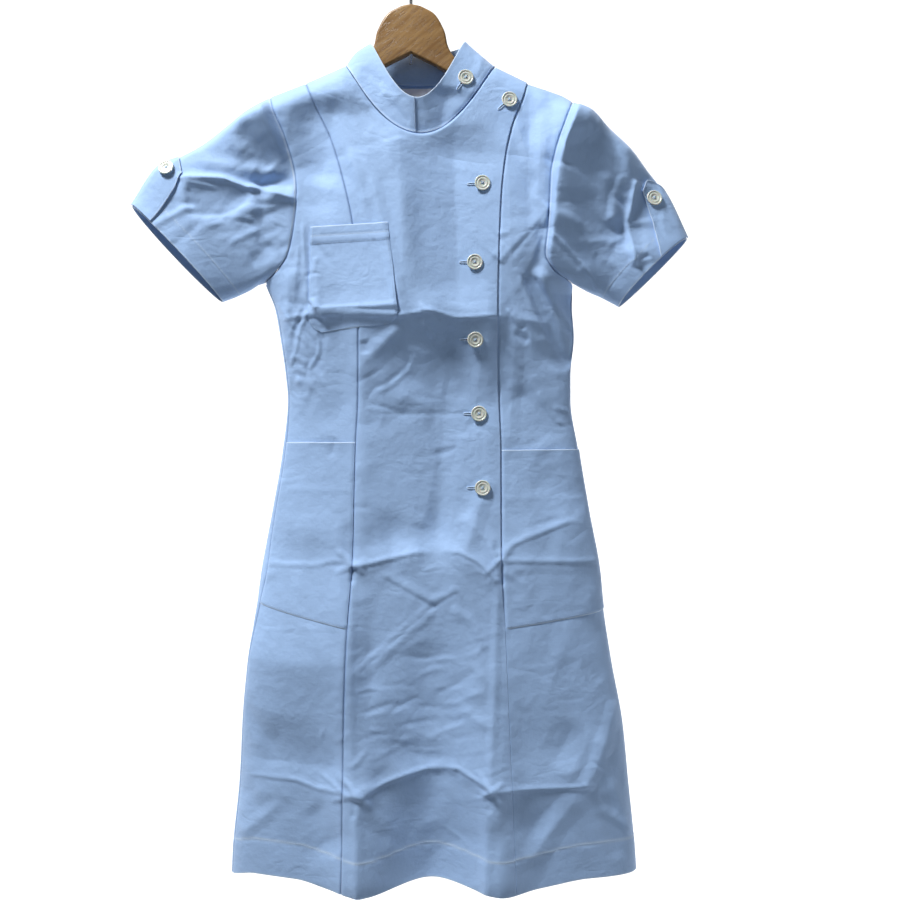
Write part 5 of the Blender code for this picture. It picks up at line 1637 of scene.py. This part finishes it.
@dataclass
class Buttons:
    """Turned pearl buttons with four holes, their thread, and the worked buttonholes.

    The profile is radius and height, from the middle of the face to the middle of the back. A strand has its
    heights in a hole, at its edge and over the middle. A buttonhole has its middle's place from the button,
    half length and half width, and the ends of its slit, where a dark strip stands in as painted shade in the
    opening. The front's rows are node, x, z and heading.
    """

    steps: int = 48
    profile: tuple[Pair, ...] = (
        (0.0, 2.0), (2.9, 2.0), (3.9, 2.15), (4.6, 2.6), (5.2, 2.75), (5.8, 2.6), (6.3, 2.3), (6.9, 2.3),
        (7.4, 2.75), (7.9, 3.05), (8.4, 3.05), (8.9, 2.75), (9.2, 2.2), (9.2, 1.7), (8.8, 1.1), (7.0, 0.6),
        (0.0, 0.3))
    hole_radius: float = 0.85
    hole_place: float = 1.55
    gap: float = 0.2
    strand: Triple = (1.2, 2.2, 2.55)
    hole_middle: float = 9.5
    hole_size: Pair = (8.2, 1.15)
    slit_shade: Pair = (2.5, 16.6)
    front: tuple[tuple[str, float, float, float], ...] = (
        ("button_shoulder", 115.0, -205.0, 222.0),
        ("button_front_1", 83.5, -303.0, 183.0),
        ("button_front_2", 74.5, -395.5, 180.0),
        ("button_front_3", 75.0, -485.0, 180.0),
        ("button_front_4", 79.5, -570.0, 180.0),
        ("button_front_5", 83.5, -656.0, 180.0),
    )

    mesh: Mesh = field(init=False)

    def __post_init__(self) -> None:
        """Turn the button once."""
        self.mesh = self.turned()

    def turned(self) -> Mesh:
        """Spun profile with four holes."""
        bm = bmesh.new()
        ring = [bm.verts.new(Vector((radius, 0.0, height)) * MM) for radius, height in self.profile]
        edges = [bm.edges.new(pair) for pair in zip(ring, ring[1:])]
        bmesh.ops.spin(bm, geom=ring + edges, axis=(0.0, 0.0, 1.0), cent=(0.0, 0.0, 0.0), angle=2.0 * pi,
                       steps=self.steps, use_merge=True)
        bmesh.ops.remove_doubles(bm, verts=bm.verts, dist=0.01 * MM)
        bmesh.ops.recalc_face_normals(bm, faces=bm.faces)
        mesh = bpy.data.meshes.new("button")
        bm.to_mesh(mesh)
        bm.clear()
        for x, y in ((1, 1), (-1, 1), (-1, -1), (1, -1)):
            place = Vector((x * self.hole_place, y * self.hole_place, 2.2)) * MM
            bmesh.ops.create_cone(bm, cap_ends=True, segments=14, radius1=self.hole_radius * MM,
                                  radius2=self.hole_radius * MM, depth=2.4 * MM,
                                  matrix=Matrix.Translation(place))
        cutter_mesh = bpy.data.meshes.new("holes")
        bm.to_mesh(cutter_mesh)
        bm.free()
        blank = bpy.data.objects.new("blank", mesh)
        cutter = bpy.data.objects.new("holes", cutter_mesh)
        for helper in (blank, cutter):
            link(helper)
        cut = blank.modifiers.new("holes", "BOOLEAN")
        cut.operation = "DIFFERENCE"
        cut.solver = "EXACT"
        cut.object = cutter
        drilled = final_mesh(blank)
        for helper in (blank, cutter):
            bpy.data.objects.remove(helper)
        drilled.shade_smooth()
        drilled.set_sharp_from_angle(angle=radians(38))
        return drilled

    def place(self, room: Workroom, node: str, seat: Array, out: Array, thread: Thread) -> None:
        """Set one button on the cloth and sew it on.

        Args:
            room: The workroom.
            node: Name of its solid.
            seat: Point on the cloth.
            out: Direction out of the cloth.
            thread: Thread that gets the crossed strands.
        """
        mesh = self.mesh.copy()
        turn = Vector(out).to_track_quat("Z", "Y").to_matrix().to_4x4()
        matrix = Matrix.Translation(Vector(seat + out * self.gap) * MM) @ turn
        mesh.transform(matrix)
        room.add(f"turned_{node}", mesh, "button", "button", [node])
        deep, edge, over = self.strand
        for sign in (1.0, -1.0):
            route = [(share * self.hole_place, share * self.hole_place * sign, height) for share, height in
                     ((-1.0, deep), (-0.8, edge), (0.0, over), (0.8, edge), (1.0, deep))]
            for shift in (-0.22, 0.22):
                spots = [matrix @ (Vector((x + shift, y - shift * sign, z)) * MM) for x, y, z in route]
                thread.strand(np.array(spots) / MM)

    @staticmethod
    def drape(cloth: Cloth, spots: Array) -> Array:
        """Spots moved to the face of a cloth that lies behind them in the front view."""
        face = cloth.points.reshape(-1, 3)
        for spot in spots:
            away = np.hypot(face[:, 0] - spot[0], face[:, 2] - spot[2])
            near = np.argsort(away)[:4]
            share = 1.0 / (away[near] + 0.05)
            spot[1] = face[near, 1] @ share / share.sum()
        return spots

    def buttonhole(self, edge: Thread, slit_shade: Thread, cloth: Cloth, seat: Array, out: Array,
                   heading: float) -> None:
        """Worked buttonhole that runs from under a button to one side.

        Args:
            edge: Thread of its edge.
            slit_shade: Thread of the dark strip that is painted shade in its opening.
            cloth: Cloth that it is worked in.
            seat: Place of the button.
            out: Direction out of the cloth.
            heading: Direction in the front view, in degrees from +X.
        """
        along = np.array([cos(radians(heading)), 0.0, sin(radians(heading))])
        along = unit(along - out * (along @ out))
        side = np.cross(out, along)
        turns = np.linspace(0.0, 2.0 * pi, 41)
        half, width = self.hole_size
        ring = np.array([seat + along * (self.hole_middle + half * cos(t))
                         + side * (width * np.sign(sin(t)) * abs(sin(t)) ** 0.45) for t in turns])
        line = np.array([seat + along * reach for reach in np.linspace(*self.slit_shade, 9)])
        edge.strand(self.drape(cloth, ring) + out * 0.35)
        slit_shade.strand(self.drape(cloth, line) + out * 0.2)

    def build(self, room: Workroom, seats: Sequence[tuple[str, Array, Array, float | None]], front: Cloth,
              collar: Cloth) -> None:
        """Sew on every button.

        Args:
            room: The workroom.
            seats: Name, place, outward direction and buttonhole heading of the buttons off the front.
            front: Cloth of the buttoned front.
            collar: Cloth of the collar's upper part.
        """
        thread = Thread("button_thread", 0.24)
        edge = Thread("buttonhole_edges", 0.62)
        # Dark strips painted as the shade inside the buttonhole slits
        slit_shade = Thread("slit_shade_strips", 0.5)
        placed = list(seats)
        for node, x, z, heading in self.front:
            turn = FORM.turn(x, z)
            seat = FORM.point(turn, z, creased=True)
            placed.append((node, seat, FORM.normal(turn, z), heading))
        for node, seat, out, heading in placed:
            self.place(room, node, seat, out, thread)
            if heading is not None:
                cloth = collar if node == "button_collar" else front
                self.buttonhole(edge, slit_shade, cloth, seat, out, heading)
        thread.finish(room)
        edge.finish(room)
        slit_shade.finish(room, "slit_shade")


@dataclass
class Hanger:
    """Flat wooden body and its steel hook.

    The half outline runs from the crest to the notch below it. Turns of the hook are degrees from +X, its
    radius is that of its centre line, and the bend has a handle at the arc and one at the stem.
    """

    thickness: float = 12.0
    rounding: float = 3.0
    outline_x: Row = (0, 9, 18, 26, 31, 36, 40.5, 43, 48, 58, 71, 86, 124, 156, 164, 167, 163,
                      155, 124, 78, 50, 25, 0)
    outline_z: Row = (-87, -88.6, -92.5, -97, -102.5, -111, -121.5, -134, -145, -156, -165,
                      -171, -186.4, -199.2, -204.5, -211, -217.5, -218, -206, -186, -171.5,
                      -157.5, -145)
    wire: float = 4.0
    radius: float = 21.0
    tip_turn: float = 205.0
    leave_turn: float = -52.0
    stem_top: float = -66.0
    stem_end: float = -157.0
    bend: Pair = (16.5, 16.0)

    def half_outline(self) -> Array:
        """Smooth line through the outline's knots, from the crest round to the notch."""
        knots = np.array([self.outline_x, self.outline_z], float)
        way = route_way(knots.T)
        places = np.append(np.arange(0.0, way[-1], 3.0), way[-1])
        smooth = [Line(tuple(way), tuple(values))(places) for values in knots]
        return np.stack(smooth, axis=-1)

    def build(self, room: Workroom) -> None:
        """Saw the body and bend the hook."""
        name = "sawn_hanger_wood"
        curve = bpy.data.curves.new(name, "CURVE")
        curve.dimensions = "2D"
        curve.fill_mode = "BOTH"
        curve.extrude = (self.thickness / 2.0 - self.rounding) * MM
        curve.bevel_depth = self.rounding * MM
        curve.bevel_resolution = 5
        curve.offset = -self.rounding * MM
        half = self.half_outline()
        outline = np.concatenate([half, half[-2:0:-1] * (-1.0, 1.0)])
        add_spline(curve, np.insert(outline, 2, 0.0, axis=1)).use_cyclic_u = True
        mesh = curve_mesh(name, curve, 0.01)
        mesh.transform(Matrix.Rotation(radians(90), 4, "X"))
        mesh.set_sharp_from_angle(angle=radians(40))
        room.add(name, mesh, "wood", "wood", ["hanger_wood"])
        self.build_hook(room)

    def route(self) -> Array:
        """Centre line of the hook: an arc over the rail, a bend back to the middle and the stem."""
        centre = np.array([0.0, 0.0, self.wire / 2.0 - self.radius])
        turns = np.radians(np.linspace(self.tip_turn, self.leave_turn, 57))
        arc = centre + self.radius * np.stack([np.cos(turns), 0.0 * turns, np.sin(turns)], axis=-1)
        leave, stem = arc[-1], np.array([0.0, 0.0, self.stem_top])
        last = radians(self.leave_turn)
        first = leave + np.array([sin(last), 0.0, -cos(last)]) * self.bend[0]
        second = stem + np.array([0.0, 0.0, self.bend[1]])
        share = np.linspace(0.0, 1.0, 17)[1:, None]
        bend = (leave * (1.0 - share) ** 3 + first * 3.0 * share * (1.0 - share) ** 2
                + second * 3.0 * share ** 2 * (1.0 - share) + stem * share ** 3)
        return np.concatenate([arc, bend, [[0.0, 0.0, self.stem_end]]])

    def build_hook(self, room: Workroom) -> None:
        """Round wire with closed ends."""
        name = "bent_hanger_hook"
        curve = bpy.data.curves.new(name, "CURVE")
        curve.dimensions = "3D"
        curve.bevel_depth = self.wire / 2.0 * MM
        curve.bevel_resolution = 5
        curve.use_fill_caps = True
        add_spline(curve, self.route())
        room.add(name, curve_mesh(name, curve), "steel", "steel", ["hanger_hook"])


class Recipe:
    """Node tree of one material, built step by step."""

    def __init__(self, name: str) -> None:
        """Start with the shader alone."""
        self.material = bpy.data.materials.new(name)
        self.material.use_nodes = True
        self.tree = self.material.node_tree
        self.shader = self.tree.nodes["Principled BSDF"]

    def node(self, kind: str, inputs: dict[int | str, object] | None = None,
             **settings: object) -> bpy.types.Node:
        """Add a node.

        Args:
            kind: Its type.
            inputs: Values or sockets for its inputs.
            **settings: Its own settings.

        Returns:
            The node.
        """
        node = self.tree.nodes.new(kind)
        for name, value in settings.items():
            setattr(node, name, value)
        for name, value in (inputs or {}).items():
            self.feed(node, name, value)
        return node

    def feed(self, node: bpy.types.Node, name: int | str, value: object) -> None:
        """Set or link one input."""
        if isinstance(value, Socket):
            self.tree.links.new(value, node.inputs[name])
        else:
            node.inputs[name].default_value = value

    def coordinates(self, output: str, scale: Triple = (1.0, 1.0, 1.0),
                    turn: float = 0.0) -> Socket:
        """Scaled and turned object coordinates, or the cloth's own map."""
        if output == UV_MAP:
            source = self.node("ShaderNodeUVMap", uv_map=UV_MAP).outputs[0]
        else:
            source = self.node("ShaderNodeTexCoord").outputs[output]
        inputs = {"Vector": source, "Scale": scale, "Rotation": (0.0, 0.0, radians(turn))}
        return self.node("ShaderNodeMapping", inputs).outputs[0]

    def noise(self, vector: Socket, scale: float, detail: float = 2.0) -> Socket:
        """Noise between 0 and 1."""
        inputs = {"Vector": vector, "Scale": scale, "Detail": detail}
        return self.node("ShaderNodeTexNoise", inputs).outputs[0]

    def wave(self, vector: Socket, scale: float, distortion: float = 0.0) -> Socket:
        """Straight bands across x."""
        inputs = {"Vector": vector, "Scale": scale, "Distortion": distortion}
        return self.node("ShaderNodeTexWave", inputs, wave_type="BANDS", bands_direction="X").outputs[1]

    def spread(self, value: Socket, low: float, high: float, from_low: float = 0.0,
               from_high: float = 1.0) -> Socket:
        """Value brought into another range."""
        inputs = {"Value": value, "From Min": from_low, "From Max": from_high, "To Min": low, "To Max": high}
        return self.node("ShaderNodeMapRange", inputs).outputs[0]

    def blend(self, factor: Socket, first: object, second: object, how: str = "MIX") -> Socket:
        """Mix of two colours."""
        inputs = {0: factor, 6: first, 7: second}
        return self.node("ShaderNodeMix", inputs, data_type="RGBA", blend_type=how).outputs[2]

    def math(self, operation: str, first: object, second: object) -> Socket:
        """Sum, product or another operation on two numbers."""
        return self.node("ShaderNodeMath", {0: first, 1: second}, operation=operation).outputs[0]

    def bump(self, height: Socket, distance: float, strength: float = 1.0,
             under: Socket | None = None) -> Socket:
        """Bumped normal, over another one."""
        inputs: dict[int | str, object] = {"Height": height, "Distance": distance, "Strength": strength}
        if under is not None:
            inputs["Normal"] = under
        return self.node("ShaderNodeBump", inputs).outputs[0]

    def shade(self, **inputs: object) -> Material:
        """Set or link the shader's inputs, with spaces written as underscores."""
        for name, value in inputs.items():
            self.feed(self.shader, name.replace("_", " "), value)
        return self.material


def shade_of(colour: Triple, factor: float) -> tuple[float, float, float, float]:
    """Lighter or darker shade of a colour, with an alpha of 1."""
    return (*(min(1.0, part * factor) for part in colour), 1.0)


@dataclass(frozen=True)
class ClothFinish:
    """Light-blue twill: threads, slight slubs, painted highlights along folded edges and painted shade in
    seams and gaps.
    """

    name: str = "blue_twill"
    colour: Triple = (0.38, 0.56, 0.865)
    roughness: float = 0.72
    threads_per_metre: float = 2600.0
    # Strength of the painted highlights along edges
    painted_edge_light: float = 0.8
    # Colour of the painted shade in seams and gaps
    deep: Triple = (0.075, 0.14, 0.33)

    def material(self) -> Material:
        """Build the finish."""
        recipe = Recipe(self.name)
        flat = recipe.coordinates(UV_MAP)
        body = recipe.coordinates("Object")
        cloud = recipe.spread(recipe.noise(body, 16.0, 5.0), 0.0, 1.0, 0.32, 0.68)
        colour = recipe.blend(cloud, shade_of(self.colour, 0.93), shade_of(self.colour, 1.06))
        yarns = recipe.coordinates(UV_MAP, (40.0, 900.0, 1.0))
        slub = recipe.spread(recipe.noise(yarns, 1.0, 2.0), 0.96, 1.04)
        slub_colour = recipe.node("ShaderNodeCombineColor", {0: slub, 1: slub, 2: slub}).outputs[0]
        colour = recipe.blend(1.0, colour, slub_colour, "MULTIPLY")
        # Painted highlight where the point attribute is positive, painted shade where it is negative
        edge = recipe.node("ShaderNodeAttribute", attribute_name=PAINTED_LIGHT_ATTRIBUTE).outputs["Fac"]
        colour = recipe.blend(recipe.math("MULTIPLY", edge, self.painted_edge_light), colour, (0.72, 0.84, 0.97, 1.0))
        colour = recipe.blend(recipe.math("MULTIPLY", edge, -1.0), colour, shade_of(self.deep, 1.0))
        twill = recipe.coordinates(UV_MAP, turn=45.0)
        rib = recipe.wave(twill, self.threads_per_metre / 6.0)
        thread = recipe.wave(flat, self.threads_per_metre / 3.0)
        weave = recipe.math("ADD", rib, recipe.math("MULTIPLY", thread, 0.4))
        fine = recipe.noise(body, 75.0, 6.0)
        normal = recipe.bump(self.crumple(recipe, body), 0.0012, 1.0)
        normal = recipe.bump(fine, 0.0012, 1.0, normal)
        normal = recipe.bump(weave, 0.00012, 0.35, normal)
        return recipe.shade(Base_Color=colour, Roughness=self.roughness, Normal=normal, Sheen_Weight=0.25,
                            Sheen_Roughness=0.45, Specular_IOR_Level=0.32)

    @staticmethod
    def crumple(recipe: Recipe, body: Socket) -> Socket:
        """Height of crisp little wrinkles, in patches and two directions.

        Args:
            recipe: Node tree that gets the nodes.
            body: Object coordinates.

        Returns:
            Height, about 0 to 1.
        """
        total: object = 0.0
        for turn, scale, share in ((35.0, (7.0, 7.0, 15.0), 1.0), (-50.0, (12.0, 12.0, 26.0), 0.6),
                                   (15.0, (26.0, 26.0, 60.0), 0.3)):
            inputs = {"Vector": body, "Rotation": (0.0, radians(turn), 0.0), "Scale": scale}
            place = recipe.node("ShaderNodeMapping", inputs).outputs[0]
            inputs = {"Vector": place, "Scale": 1.0, "Detail": 1.5, "Distortion": 0.8}
            noise = recipe.node("ShaderNodeTexNoise", inputs).outputs[0]
            fold = recipe.math("ABSOLUTE", recipe.math("SUBTRACT", noise, 0.5), 0.0)
            patch = recipe.spread(recipe.noise(place, 0.35, 1.0), 0.0, share * 4.0, 0.48, 0.68)
            total = recipe.math("ADD", total, recipe.math("MULTIPLY", fold, patch))
        return total


@dataclass(frozen=True)
class ThreadFinish:
    """Twisted polyester thread, also used in a dark colour as painted shade inside buttonhole slits."""

    name: str
    colour: Triple
    roughness: float = 0.55

    def material(self) -> Material:
        """Build the finish."""
        recipe = Recipe(self.name)
        body = recipe.coordinates("Object")
        ply = recipe.noise(body, 2200.0, 1.0)
        colour = recipe.blend(ply, shade_of(self.colour, 0.86), shade_of(self.colour, 1.1))
        normal = recipe.bump(ply, 0.0001, 0.5)
        return recipe.shade(Base_Color=colour, Roughness=self.roughness, Normal=normal)


@dataclass(frozen=True)
class LabelFinish:
    """Dense white woven tape."""

    name: str = "woven_label"
    colour: Triple = (0.93, 0.91, 0.94)

    def material(self) -> Material:
        """Build the finish."""
        recipe = Recipe(self.name)
        flat = recipe.coordinates(UV_MAP)
        threads = recipe.wave(flat, 700.0)
        colour = recipe.blend(threads, shade_of(self.colour, 0.93), shade_of(self.colour, 1.0))
        normal = recipe.bump(threads, 0.0001, 0.5)
        return recipe.shade(Base_Color=colour, Roughness=0.6, Normal=normal, Sheen_Weight=0.2)


@dataclass(frozen=True)
class ButtonFinish:
    """Off-white polyester with a faint pearl cloud and a polished face."""

    name: str = "pearl_button"
    colour: Triple = (0.66, 0.69, 0.62)

    def material(self) -> Material:
        """Build the finish."""
        recipe = Recipe(self.name)
        body = recipe.coordinates("Object")
        cloud = recipe.spread(recipe.noise(body, 260.0, 3.0), 0.0, 1.0, 0.35, 0.65)
        colour = recipe.blend(cloud, shade_of(self.colour, 0.9), shade_of(self.colour, 1.12))
        rough = recipe.spread(cloud, 0.2, 0.34)
        return recipe.shade(Base_Color=colour, Roughness=rough, Coat_Weight=0.35, Coat_Roughness=0.12,
                            Subsurface_Weight=0.1, Subsurface_Scale=0.002)


@dataclass(frozen=True)
class WoodFinish:
    """Oak under a satin varnish: slanting growth rings, fine pores and faint paler patches."""

    name: str = "varnished_oak"
    light: Triple = (0.40, 0.235, 0.085)
    dark: Triple = (0.13, 0.062, 0.018)

    def material(self) -> Material:
        """Build the finish."""
        recipe = Recipe(self.name)
        grain = recipe.coordinates("Object", (14.0, 60.0, 150.0))
        tilt = self.tilted(recipe)
        rings = recipe.noise(tilt, 1.0, 5.0)
        rings = recipe.spread(rings, 0.0, 1.0, 0.36, 0.66)
        colour = recipe.blend(rings, shade_of(self.dark, 1.4), shade_of(self.light, 0.85))
        pores = recipe.noise(tilt, 5.0, 2.0)
        pores = recipe.spread(pores, 0.0, 1.0, 0.56, 0.66)
        colour = recipe.blend(pores, colour, shade_of(self.dark, 0.9))
        cloud = recipe.noise(grain, 0.3, 2.0)
        colour = recipe.blend(recipe.spread(cloud, 0.0, 0.35), colour, shade_of(self.light, 1.25))
        normal = recipe.bump(pores, -0.00015, 0.5)
        rough = recipe.spread(rings, 0.34, 0.46)
        return recipe.shade(Base_Color=colour, Roughness=rough, Normal=normal, Coat_Weight=0.25,
                            Coat_Roughness=0.25)

    @staticmethod
    def tilted(recipe: Recipe) -> Socket:
        """Coordinates stretched along the slanting grain."""
        source = recipe.node("ShaderNodeTexCoord").outputs["Object"]
        turned = recipe.node("ShaderNodeMapping", {"Vector": source, "Rotation": (0.0, radians(40.0), 0.0)})
        stretched = {"Vector": turned.outputs[0], "Scale": (22.0, 60.0, 230.0)}
        return recipe.node("ShaderNodeMapping", stretched).outputs[0]


@dataclass(frozen=True)
class SteelFinish:
    """Nickel-plated wire with faint drawing marks."""

    name: str = "plated_wire"

    def material(self) -> Material:
        """Build the finish."""
        recipe = Recipe(self.name)
        body = recipe.coordinates("Object", (400.0, 400.0, 60.0))
        marks = recipe.noise(body, 3.0, 2.0)
        rough = recipe.spread(marks, 0.16, 0.34)
        normal = recipe.bump(marks, 0.00005, 0.3)
        return recipe.shade(Base_Color=(0.62, 0.61, 0.6, 1.0), Metallic=1.0, Roughness=rough, Normal=normal)


@dataclass(frozen=True)
class Studio:
    """Pale floor and backdrop, soft light and a camera at the photo's angle, in metres and watts.

    Half_view is half of what the camera sees across at the dress. Lamps are name, place, size and power. The
    backdrop starts at front, curves up into the wall and is as high as its reach.
    """

    camera_place: Triple = (0.046, -1.5, -0.612)
    half_view: float = 0.531
    aim: Triple = (0.03, 0.0, -0.6)
    lamps: tuple[tuple[str, Triple, float, float], ...] = (
        ("key_light", (-1.15, -0.95, 1.7), 0.5, 102.0),
        ("side_light", (1.4, -0.8, -1.2), 0.5, 2.5),
        ("front_light", (0.2, -2.6, -0.2), 1.5, 4.0),
    )
    sky: tuple[float, float, float, float] = (0.82, 0.91, 1.0, 1.0)
    sky_strength: float = 0.1
    floor: float = -1.6
    front: float = -0.2
    wall: float = 3.4
    curve: float = 0.6
    reach: float = 9.0

    def build(self) -> None:
        """Set the stage up."""
        self.backdrop()
        for lamp in self.lamps:
            self.light(*lamp)
        world = bpy.data.worlds.new("studio")
        world.use_nodes = True
        sky = world.node_tree.nodes["Background"]
        sky.inputs["Color"].default_value = self.sky
        sky.inputs["Strength"].default_value = self.sky_strength
        bpy.context.scene.world = world
        bpy.context.scene.view_settings.view_transform = "Standard"
        data = bpy.data.cameras.new("camera")
        data.sensor_width = 36.0
        data.lens = data.sensor_width / 2.0 / (self.half_view / -self.camera_place[1])
        camera = bpy.data.objects.new("camera", data)
        camera.location = self.camera_place
        camera.rotation_euler = (radians(90.0), 0.0, 0.0)
        link(camera)
        bpy.context.scene.camera = camera

    def backdrop(self) -> None:
        """Floor that curves up into a wall."""
        bm = bmesh.new()
        profile = [(self.front, self.floor)]
        for turn in range(0, 91, 9):
            angle = radians(turn)
            profile.append((self.wall - self.curve + sin(angle) * self.curve,
                            self.floor + self.curve - cos(angle) * self.curve))
        profile.append((self.wall, self.reach))
        verts = [bm.verts.new((-self.reach, y, z)) for y, z in profile]
        edges = [bm.edges.new(pair) for pair in zip(verts, verts[1:])]
        moved = bmesh.ops.extrude_edge_only(bm, edges=edges)
        far = [item for item in moved["geom"] if isinstance(item, bmesh.types.BMVert)]
        bmesh.ops.translate(bm, verts=far, vec=(2.0 * self.reach, 0.0, 0.0))
        mesh = bpy.data.meshes.new("backdrop")
        bm.to_mesh(mesh)
        bm.free()
        mesh.shade_smooth()
        paper = bpy.data.materials.new("pale_paper")
        paper.use_nodes = True
        shader = paper.node_tree.nodes["Principled BSDF"]
        shader.inputs["Base Color"].default_value = (0.5, 0.5, 0.5, 1.0)
        shader.inputs["Roughness"].default_value = 0.95
        shader.inputs["Emission Color"].default_value = (1.0, 1.0, 1.0, 1.0)
        shader.inputs["Emission Strength"].default_value = 0.9
        mesh.materials.append(paper)
        backdrop = bpy.data.objects.new("backdrop", mesh)
        link(backdrop)

    def light(self, name: str, place: Triple, size: float, power: float) -> None:
        """Soft square lamp that looks at the dress."""
        data = bpy.data.lights.new(name, "AREA")
        data.size = size
        data.energy = power
        lamp = bpy.data.objects.new(name, data)
        lamp.location = place
        aim = Vector(self.aim) - Vector(place)
        lamp.rotation_euler = aim.to_track_quat("-Z", "Y").to_euler()
        link(lamp)


def main() -> None:
    """Build the dress, its hanger and the studio."""
    logging.basicConfig(level=logging.INFO, format="%(name)s: %(message)s")
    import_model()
    finishes = {
        "cloth": ClothFinish().material(),
        "thread": ThreadFinish("sewing_thread", (0.50, 0.66, 0.88)).material(),
        # Dark colour painted as the shade inside the buttonhole slits
        "slit_shade": ThreadFinish("painted_slit_shade", (0.10, 0.16, 0.28), 0.9).material(),
        "label": LabelFinish().material(),
        "button": ButtonFinish().material(),
        "wood": WoodFinish().material(),
        "steel": SteelFinish().material(),
    }
    room = Workroom(finishes)
    body = Body()
    body.build(room)
    sleeves = (Sleeve(RIGHT_SLEEVE, RIGHT_TAB), Sleeve(LEFT_SLEEVE, LEFT_TAB))
    for sleeve in sleeves:
        sleeve.build(room)
    collar = Collar()
    collar.build(room)
    Pockets().build(room)
    NeckLabel().build(room)
    seats = [(sleeve.tab.button, *sleeve.seat(), None) for sleeve in sleeves]
    seats.append(("button_collar", *collar.seat(), 235.0))
    Buttons().build(room, seats, body.cloths["front_overlap"], collar.upper)
    Hanger().build(room)
    Studio().build()


if __name__ == "__main__":
    main()
